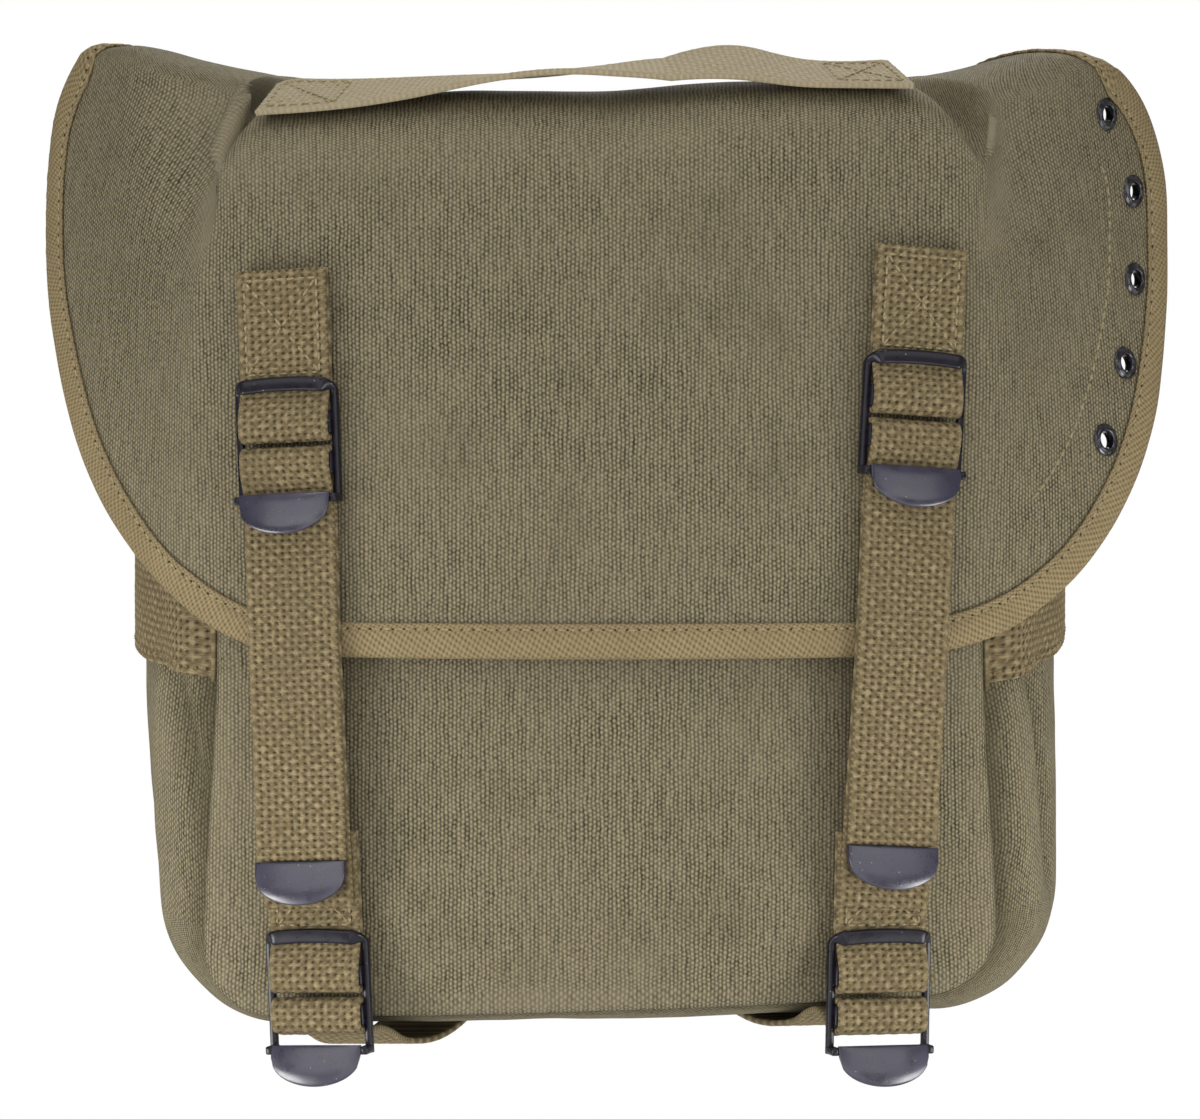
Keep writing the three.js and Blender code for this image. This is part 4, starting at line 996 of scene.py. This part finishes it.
# a rounded D plate, crowned in front, hanging down from its straight upper edge
def roundPlate(bm, half, square, length, thick, crownOut, place):
    made = bmesh.ops.create_grid(bm, x_segments=30, y_segments=14, size=1)["verts"]
    for vert in made:
        a, b = vert.co.x, (1 - vert.co.y) / 2
        drop = square + (length - square) * math.sqrt(max(0, 1 - a * a))
        out = crownOut * (1 - abs(a) ** 2.6) * (1 - (2 * b - 0.9) ** 4 * 0.6)
        vert.co = place @ Vector((out, -b * drop, half * a))
    faces = list(dict.fromkeys(face for vert in made for face in vert.link_faces))
    # the plates take the second steel, the lit copy
    for face in faces:
        face.material_index = 1
    bmesh.ops.recalc_face_normals(bm, faces=faces)
    outFace = place.to_3x3() @ Vector((1, 0, 0))
    if faces[len(faces) // 2].normal.dot(outFace) < 0:
        bmesh.ops.reverse_faces(bm, faces=faces)
    solid = bmesh.ops.solidify(bm, geom=faces, thickness=thick)["geom"]
    walls = [item for item in solid if isinstance(item, bmesh.types.BMFace)]
    edges = dict.fromkeys(edge for face in walls + faces for edge in face.edges)
    rim = [edge for edge in edges if len(edge.link_faces) == 2 and edge.calc_face_angle() > 0.9]
    soft = min(0.42, thick * 0.32)
    bmesh.ops.bevel(bm, geom=rim, offset=soft, affect="EDGES", segments=3, profile=0.5, material=-1)


# sets a steel piece, drawn in a strap's frame, in its place
def finishSteel(bm, name, matrix, node):
    bmesh.ops.recalc_face_normals(bm, faces=bm.faces)
    bmesh.ops.transform(bm, matrix=matrix, verts=bm.verts)
    for vert in bm.verts:
        vert.co = toFrame(vert.co)
    piece = finishPiece(bm, name, [shadedBarSteel, litPlateSteel], "black_steel", node)
    piece.data.set_sharp_from_angle(angle=math.radians(50))


def makeBuckle(name, matrix, node):
    b = buckle
    bm = bmesh.new()
    # one bent bar makes the rails and the arched top: its path (across, up), with its two half sizes and depth
    railX = b["inner"] / 2 + b["rail"] / 2
    path = []
    for k in range(12):
        path.append((-railX, lerp(-b["railEnd"], -b["corner"] - 1, k / 11), 0))
    for k in range(1, 8):
        turn = math.radians(90 * k / 8)
        across = -railX + b["corner"] * (1 - math.cos(turn))
        path.append((across, -b["corner"] - 1 + (b["corner"] - 0.7) * math.sin(turn), k / 8))
    for k in range(17):
        path.append((lerp(-railX + b["corner"], 0, k / 16), -b["topBar"] / 2 + 0.2, 1))
    path += [(-x, u, share) for x, u, share in reversed(path[:-1])]
    corners = [(math.cos(math.radians(a)), math.sin(math.radians(a))) for a in range(0, 360, 18)]
    section = [(math.copysign(abs(c) ** 0.45, c), math.copysign(abs(s) ** 0.45, s)) for c, s in corners]
    count = len(path) - 1
    for vert, k, m in addGrid(bm, count, len(section)):
        x, u, share = path[k]
        before, after = path[max(k - 1, 0)], path[min(k + 1, count)]
        along = Vector((after[0] - before[0], after[1] - before[1])).normalized()
        wide = lerp(b["rail"], b["topBar"], ease(0, 1, share)) / 2
        depth = lerp(b["railHigh"] - b["railLow"], b["topHigh"] - b["topLow"], ease(0, 1, share)) / 2
        middle = lerp(b["railHigh"] + b["railLow"], b["topHigh"] + b["topLow"], ease(0, 1, share)) / 2
        lift = b["arch"] * (1 - (x / railX) ** 2) * share - 0.3 * share
        p, q = section[m % len(section)]
        vert.co = Vector((middle + depth * q, u + lift + along.x * wide * p, x - along.y * wide * p))
    bmesh.ops.remove_doubles(bm, verts=bm.verts, dist=1e-4)
    bmesh.ops.holes_fill(bm, edges=[edge for edge in bm.edges if edge.is_boundary], sides=0)
    half = b["inner"] / 2 + 0.4
    for low, high in (b["barOne"], b["barTwo"]):
        roundedBar(bm, (-b["barHalf"], -high, -half), (b["barHalf"], -low, half), 0.5)
    roundedBar(bm, (b["crossLow"] - 0.4, -b["crossBar"][1], -half), (b["crossHigh"], -b["crossBar"][0], half), 0.5)
    for side in (-1, 1):
        near, far = sorted((side * (b["inner"] / 2 - 0.2), side * (b["inner"] / 2 + b["rail"])))
        roundedBar(bm, (b["railLow"], -b["crossBar"][1], near), (b["crossHigh"], -b["crossBar"][0], far), 0.5)
    tilt = Matrix.Rotation(math.radians(b["lipTilt"]), 4, "Z")
    hung = Matrix.Translation((b["crossHigh"] + 0.1, -b["crossBar"][0] + 0.5, 0)) @ tilt
    roundPlate(bm, b["inner"] / 2 + 0.2, b["lipSquare"], b["lip"] + 0.6, b["lipThick"], b["lipCrown"], hung)
    finishSteel(bm, name, matrix, node)


def makeTip(name, matrix, end, node):
    bm = bmesh.new()
    place = Matrix.Translation((end.x + tipCut["thick"] / 2 - 0.3, end.y + tipCut["grip"], 0))
    place = place @ Matrix.Rotation(math.radians(tipCut["tilt"]), 4, "Z")
    roundPlate(bm, web["width"] / 2 + 0.2, tipCut["square"], tipCut["length"], tipCut["thick"], tipCut["crown"],
               place)
    finishSteel(bm, name, matrix, node)


def tabPath(length):
    turn = roundBar(buckle["barOne"], "lower", 180, 360)
    path = [Vector((backLayer, length)), Vector((backLayer, -buckle["barOne"][1] + buckle["barHalf"] + 0.8))] + turn
    path += [Vector((-backLayer, -buckle["barOne"][0] - 1)), Vector((frontLayer + 1, -5.6))]
    return path + [Vector((frontLayer, -3.4)), Vector((frontLayer, length))]


def strapPath(load, tipTop):
    layers = webThick + 0.4
    free = [point for point in reversed(load) if point.y > tipTop + 9]
    tipX = max(load[0].x, load[1].x) + webThick + tipCut["wall"] + 3 * gap
    low = -buckle["barTwo"][1]
    cross = [-end for end in buckle["crossBar"]]
    return (load + [Vector((backLayer, low + 1))] + roundBar(buckle["barTwo"], "upper", 180, 0)
            + [Vector((-backLayer, low + 1.6)), Vector((1.1, low - 2.4)), Vector((0.4, cross[0] + 1.2)),
               Vector((0.1, cross[1] - 1))]
            + [Vector((point.x + layers, point.y)) for point in free]
            + [Vector((tipX, tipTop + 2)), Vector((tipX, tipTop - tipCut["grip"]))])


def slingPath(lower, strap):
    foot = -buckle["barTwo"][1] + buckle["barHalf"] - wrapRadius

    def below(n, drop):
        levels = []
        for w in (-13, -6, 0, 6, 13):
            point = lower @ Vector((n, 0, w))
            share = clamp(1 - point.y / frontY(point.x, frontCut["foot"]))
            bottom = gussetPoint(0.5 + point.x / 84 * 0.11, share).z
            levels.append((bottom - gap - webThick / 2 - drop - point.z) / math.cos(math.radians(strap["lowRoll"])))
        return Vector((n, min(levels)))

    reach = (lower.translation.y + 14) / math.cos(math.radians(strap["yaw"]))
    runs = [below(reach * share, 0.35 + strap["sag"] * math.sin(math.pi * (1 - share)))
            for share in (1, 0.9, 0.8, 0.7, 0.6, 0.5, 0.4, 0.3, 0.2, 0.12)]
    return (runs + [Vector((-4, min(foot - 1.2, runs[9].y + 2)))] + roundBar(buckle["barTwo"], "lower", 270, 360)
            + roundBar(buckle["barTwo"], "upper", 0, 180) + [Vector((backLayer, -buckle["barTwo"][1] + 3.2))])


# Stitches: short thread humps in a row, each with a painted shadow of the needle's hole at its end

stitch = {"pitch": 3.1, "length": 2.6, "radius": 0.38, "hole": 0.36}
seams = bmesh.new()


def sewOne(point, along, normal, length, radius, material):
    side = normal.cross(along).normalized()
    turn = Matrix((along, side, normal)).transposed().to_4x4()
    size = Matrix.Diagonal((length / 2000, radius / 1000, radius / 1000, 1))
    move = Matrix.Translation(toFrame(point)) @ turn @ size
    verts = bmesh.ops.create_icosphere(seams, subdivisions=1, radius=1, matrix=move)["verts"]
    for face in {face for vert in verts for face in vert.link_faces}:
        face.material_index = material


# line is a list of (point, normal) in millimetres
def sew(line, pitch=None, rise=0.0, holeShadows=False):
    pitch = pitch or stitch["pitch"]
    points = [point for point, _ in line]
    total = sum((after - before).length for before, after in zip(points, points[1:]))
    count = max(1, round(total / pitch))
    step = total / count
    walked, want, k = 0.0, step / 2, 0
    for (before, normal), (after, _) in zip(line, line[1:]):
        leg = after - before
        size = leg.length
        while size > 0 and want <= walked + size and k < count:
            point = before + leg * ((want - walked) / size)
            along = (leg - normal * leg.dot(normal)).normalized()
            slack = 0.12 * ripple(point.x * 3, point.y * 3, point.z * 3, 2)
            along = (along + normal.cross(along) * slack).normalized()
            length = stitch["length"] * step / stitch["pitch"]
            sewOne(point + normal * rise, along, normal, length, stitch["radius"], 0)
            if holeShadows:
                # a dark ellipsoid as the needle hole's painted shadow
                sewOne(point + along * step / 2 + normal * (rise - 0.05), along, normal, 0.8, stitch["hole"], 1)
            want += step
            k += 1
        walked += size


# a sewn box with a cross in it, between two heights on a strap's face
def sewBox(matrix, out, low, high, half=10.2, cross=True):
    normal = (matrix.to_3x3() @ Vector((1, 0, 0))).normalized()
    spot = lambda u, w: (matrix @ Vector((out, u, w)), normal)
    corners = [(low, -half), (high, -half), (high, half), (low, half)]
    for m in range(4):
        sew([spot(*corners[m - 1]), spot(*corners[m])], 2.9)
    if cross:
        sew([spot(low, -half), spot(high, half)], 3.2)
        sew([spot(low, half), spot(high, -half)], 3.2)


def makeStraps(name):
    strap = straps[name]
    lean = (strap["topX"] - strap["hemX"]) / (strap["topZ"] - flapCut["hem"])
    x = lambda z: strap["hemX"] + lean * (z - flapCut["hem"])
    up = (flapFront(x(strap["topZ"]), strap["topZ"]) - flapFront(x(115), 115)).normalized()
    yaw = math.radians(strap["side"] * strap["yaw"])
    bar = strap["bar"]
    upper = strapFrame(flapFront(x(bar), bar), up, yaw, underWeb(flapFront, x, bar - 40, bar + strap["tab"]))
    roll = math.radians(strap["lowRoll"] * strap["side"])
    lowUp = Vector((math.sin(roll), 0, math.cos(roll)))
    lowX = lambda z: strap["lowX"] + math.tan(roll) * (z - lowBar)
    lower = strapFrame(onFront(strap["lowX"], lowBar), lowUp, yaw,
                       underWeb(onFront, lowX, lowBar - 16, lowBar + lowTab))

    for part, matrix, length in (("upper", upper, strap["tab"]), ("lower", lower, lowTab)):
        hidden = lambda run, length=length: run < length + 8
        tab = webbingMesh(stationsOf(matrix, tabPath(length), -1, hidden))
        finishPiece(tab, f"{part}Tab{name.title()}", [webCloth], "webbing", f"{part}_tab_{name}")
        makeBuckle(f"{part}Buckle{name.title()}", matrix, f"{part}_buckle_{name}")
        sewBox(matrix, frontLayer + web["thick"] / 2 + 0.02, 1.5, length - 2.6)

    lowFace = -buckle["barHalf"] - gap + webThick + 0.2
    toUpper = upper.inverted()

    def seat(height):
        up = (height - lowBar) / math.cos(roll)
        spots = [toUpper @ (lower @ Vector((lowFace, up, w))) for w in (-12.5, 0, 12.5)]
        return Vector((max(spot.x for spot in spots) + gap + webThick / 2, spots[1].y))

    hemFace = [toUpper @ point for point in underWeb(flapFront, x, flapCut["hem"], flapCut["hem"] + 7.5)]
    hemOut = max(point.x for point in hemFace) + 1 + 2 * gap + webThick / 2
    hemUp = hemFace[2].y
    high = seat(anchor["high"])
    load = [seat(anchor["low"]), high, Vector((lerp(high.x, hemOut, 0.55), lerp(high.y, hemUp, 0.5))),
            Vector((hemOut, hemUp - 4)), Vector((hemOut, hemUp + 11)),
            Vector((backLayer, -buckle["barTwo"][1] - 14))]
    path = strapPath(load, seat(strap["tipEnd"] + tipCut["length"]).y)
    end = path[-1]
    path[-1] = Vector((end.x, end.y + tipCut["grip"] + 0.05))
    folded = sum((after - before).length for before, after in zip(load, load[1:]))
    ribbon = webbingMesh(stationsOf(upper, path, 1, lambda run: 26 < run < folded), True)
    finishPiece(ribbon, f"strap{name.title()}", [webCloth], "webbing", f"strap_{name}")
    makeTip(f"strapTip{name.title()}", upper, end, f"strap_tip_{name}")
    sling = webbingMesh(stationsOf(lower, slingPath(lower, strap), -1, lambda run: 8 < run < 70))
    finishPiece(sling, f"bottomStrap{name.title()}", [webCloth], "webbing", f"bottom_strap_{name}")


for name in straps:
    makeStraps(name)
print("straps, tabs, buckles and tips")


# Handle: a web along the top of the flap, sewn down at both ends and lifted between

handle = {
    "row": 1.26, "from": -0.555, "to": 0.535, "steps": 460, "pad": 0.13, "seat": 0.5, "lift": 3.6,
    "dropped": -13, "raised": 9, "fadeAndPaintedLight": 0.5, "sewnHalf": 9.6,
}


def handleStations():
    stations = []
    length = 0
    for k in range(handle["steps"] + 1):
        share = k / handle["steps"]
        s = lerp(handle["from"], handle["to"], share)
        d = 0.01
        across = (flapPoint(s + d, handle["row"]) - flapPoint(s - d, handle["row"])).normalized()
        back = flapPoint(s, handle["row"] + d) - flapPoint(s, handle["row"] - d)
        back = (back - across * back.dot(across)).normalized()
        normal = across.cross(back)
        free = bell(share, 0.6, 0.16) * ease(handle["pad"], 0.3, share) * (1 - ease(0.75, 1 - handle["pad"], share))
        dropped = handle["dropped"] * bell(share, 0.42, 0.16)
        tilt = math.radians(dropped + handle["raised"] * bell(share, 0.74, 0.11))
        wide = back * math.cos(tilt) + normal * math.sin(tilt)
        thick = normal * math.cos(tilt) - back * math.sin(tilt)
        lift = handle["seat"] + handle["lift"] * free + web["width"] / 2 * abs(math.sin(tilt))
        middle = flapPoint(s, handle["row"]) + normal * (lift + webThick / 2)
        if stations:
            length += (middle - stations[-1][0]).length
        stations.append((middle, wide, thick, length))
    return stations


stations = handleStations()
# the handle is drawn paler as a whole: painted light from above
finishPiece(webbingMesh(stations, fadeAndPaintedLight=handle["fadeAndPaintedLight"]), "handleWeb", [webCloth], "webbing", "handle")


def sewHandle(first, last):
    rise = web["thick"] / 2 + 0.02
    half = handle["sewnHalf"]
    spot = lambda k, w: (stations[k][0] + stations[k][1] * w + stations[k][2] * rise, stations[k][2])
    for w in (-half, half):
        sew([spot(k, w) for k in range(first, last + 1, 4)])
    for k in (first, last):
        sew([spot(k, -half), spot(k, half)])
    sew([spot(first, -half), spot(last, half)])
    sew([spot(first, half), spot(last, -half)])


sewHandle(6, 54)
sewHandle(406, 454)
print("handle")


# Side webs: wide bands on the gusset's sides, just under the flap

sideBands = {
    "left": {"side": -1, "high": 138, "front": 88, "back": 91},
    "right": {"side": 1, "high": 138, "front": 86, "back": 97},
}


def sideSpot(band, a, b):
    side = band["side"]
    w = lerp(0.005, 0.97, 1 - a if side < 0 else a)
    z = lerp(lerp(band["front"], band["back"], w), band["high"], b)
    straight = frontCut["foot"] + frontCut["corner"]
    climb = (z - straight) / (frontCut["mouth"] - straight)
    t = (1 + side * (0.5 + 0.5 * climb)) / 2
    d = 0.01
    point = gussetPoint(t, w)
    along = gussetPoint(t, min(1, w + d)) - gussetPoint(t, max(0, w - d))
    out = Vector((along.y, -along.x, 0)).normalized() * math.copysign(1, along.y) * side
    lying = 0.25 + webThick + 0.5 + 0.2 * ripple(point.y, 3, z, 14)
    return point + out * lying, w * 100, z, 0


for name, band in sideBands.items():
    bandMesh = clothSheet(170, 100, lambda a, b: sideSpot(band, a, b), lambda u, v: weaveRelief(v, u))
    sidePiece = finishPiece(bandMesh, f"sideWeb{name.title()}", [webCloth], "webbing", f"side_web_{name}")
    thicken(sidePiece, 1.5)
    outFace = Vector((band["side"], 0, 0))
    row = [(sideSpot(band, 0.03 + 0.94 * k / 40, 0.045)[0], outFace) for k in range(41)]
    sew(row, rise=-0.1)
print("side webs")


# Belt loops on the back, sewn above and below the belt

beltLoops = {"x": 75, "pad": 12, "clear": 60, "depth": 6}


def loopPath():
    seat = gap + webThick / 2
    half, depth, pad = beltLoops["clear"] / 2, beltLoops["depth"], beltLoops["pad"]
    return [Vector(spot) for spot in (
        (seat, -half - pad), (seat, -half - 1), (seat + depth * 0.5, -half + 1.2), (seat + depth, -half + 3.6),
        (seat + depth, half - 3.6), (seat + depth * 0.5, half - 1.2), (seat, half + 1), (seat, half + pad))]


for name, side in (("left", -1), ("right", 1)):
    turn = Matrix((Vector((0, 1, 0)), Vector((0, 0, 1)), Vector((1, 0, 0)))).transposed().to_4x4()
    turn.translation = Vector((side * beltLoops["x"], 0, beltHeight))
    loopMesh = webbingMesh(stationsOf(turn, loopPath(), -1))
    finishPiece(loopMesh, f"beltLoop{name.title()}", [webCloth], "webbing", f"belt_loop_{name}")
    face = gap + webThick / 2 + web["thick"] / 2 + 0.02
    for low, high in ((-41, -32.5), (32.5, 41)):
        sewBox(turn, face, low, high)
print("belt loops")


# Seams sewn on the flap: along the binding, beside the eyelets and across the lap on the back

def flapRow(points, rise=0.05):
    return [(spot + normal * rise, normal) for spot, normal in map(onFlap, points)]


inTape = [edgeLine[k] + edgeFrames[k][1] * bindingTape["stitchIn"] for k in range(2, len(edgeLine) - 2)]
sew(flapRow(inTape, bindingTape["over"] - 0.3), holeShadows=True)
wingHeights = [lerp(eyelets["stitchLow"], eyelets["stitchHigh"], k / 59) for k in range(60)]
wingSpots = [insideEdge(rightWing, z, eyelets["stitchInset"]) for z in wingHeights]
sew(flapRow(flapFront(spot.x, spot.y) for spot in wingSpots))
for t in (2.66, 2.86):
    sew(flapRow(flapPoint(lerp(-0.97, 0.97, k / 80), t) for k in range(81)))
finishPiece(seams, "stitching", [sewingThread, needleHoleShadow], "webbing")
print("stitches sewn")


# Floor, light and camera

stage = {"floor": -0.36, "size": 0.85, "lens": 149, "eye": (0, -1.418, -0.01), "aim": (0, -0.118, -0.05)}

floorMesh = bmesh.new()
bmesh.ops.create_circle(floorMesh, cap_ends=True, segments=96, radius=stage["size"])
bmesh.ops.translate(floorMesh, verts=floorMesh.verts, vec=(0, 0, stage["floor"]))
floorData = bpy.data.meshes.new("floor")
floorMesh.to_mesh(floorData)
floorMesh.free()
floor = addObject("floor", floorData)
# matt white paint, very slightly cloudy
floorPaint, floorTree, floorShader, floorPlace = newMaterial("white_matt_paint", Roughness=0.9)
floorCloud = addNode(floorTree, "ShaderNodeTexNoise", {"Scale": 3.0}, {"Vector": floorPlace})
floorTone = addNode(floorTree, "ShaderNodeValToRGB", (), {0: floorCloud})
floorTone.color_ramp.elements[0].color = linear("#f4f4f2")
floorTone.color_ramp.elements[1].color = linear("#fafaf9")
wire(floorTree, floorShader, {"Base Color": floorTone})
floorData.materials.append(floorPaint)

# white behind the bag, and a studio that is bright above and dim below
world = bpy.data.worlds.new("studio")
world.use_nodes = True
worldTree = world.node_tree
room = worldTree.nodes["Background"]
room.inputs["Color"].default_value = (1, 1, 1, 1)
facing = addNode(worldTree, "ShaderNodeTexCoord").outputs["Generated"]
upward = addNode(worldTree, "ShaderNodeSeparateXYZ", (), {0: facing}).outputs["Z"]
glow = addNode(worldTree, "ShaderNodeMapRange", {1: -0.7, 2: 0.8, 3: 0.17, 4: 0.42}, {0: upward})
toCamera = addNode(worldTree, "ShaderNodeLightPath").outputs["Is Camera Ray"]
seen = addNode(worldTree, "ShaderNodeMix", {3: 1.0}, {0: toCamera, 2: glow})
wire(worldTree, room, {"Strength": seen})
bpy.context.scene.world = world
bpy.context.scene.view_settings.view_transform = "Standard"



def addAimed(name, data, at, aim):
    made = addObject(name, data)
    made.location = at
    made.rotation_euler = (Vector(aim) - Vector(at)).to_track_quat("-Z", "Y").to_euler()
    return made


# area lights; the two bounces are narrowed to the sides of the bag
lights = {
    "topSoftbox": {"at": (-0.15, -0.55, 1.0), "aim": (0, -0.06, -0.02), "size": 0.9, "power": 7.4},
    "leftSoftbox": {"at": (-0.76, -1.1, 0.4), "aim": (0, -0.06, -0.05), "size": 0.6, "power": 2.6},
    "rightSoftbox": {"at": (0.8, -1.1, 0.4), "aim": (0, -0.06, -0.05), "size": 0.6, "power": 2.1},
    "leftBounce": {"at": (-0.44, -0.3, -0.28), "aim": (-0.13, -0.06, -0.2), "size": 0.25, "power": 0.5,
                   "spread": 75},
    "rightBounce": {"at": (0.44, -0.3, -0.28), "aim": (0.13, -0.06, -0.2), "size": 0.25, "power": 0.45,
                    "spread": 75},
    "backSoftbox": {"at": (0.3, 1.2, 0.95), "aim": (0, 0, -0.05), "size": 0.9, "power": 18},
    "lowFill": {"at": (0, -1.65, -0.5), "aim": (0, -0.1, -0.14), "size": 1.8, "power": 17.5},
}
for name, light in lights.items():
    lamp = bpy.data.lights.new(name, "AREA")
    lamp.size = light["size"]
    lamp.spread = math.radians(light.get("spread", 180))
    lamp.energy = light["power"]
    addAimed(name, lamp, light["at"], light["aim"])

cameraData = bpy.data.cameras.new("photoView")
cameraData.lens = stage["lens"]
cameraData.sensor_width = 36
bpy.context.scene.camera = addAimed("photoView", cameraData, stage["eye"], stage["aim"])
print("floor, lights and camera")
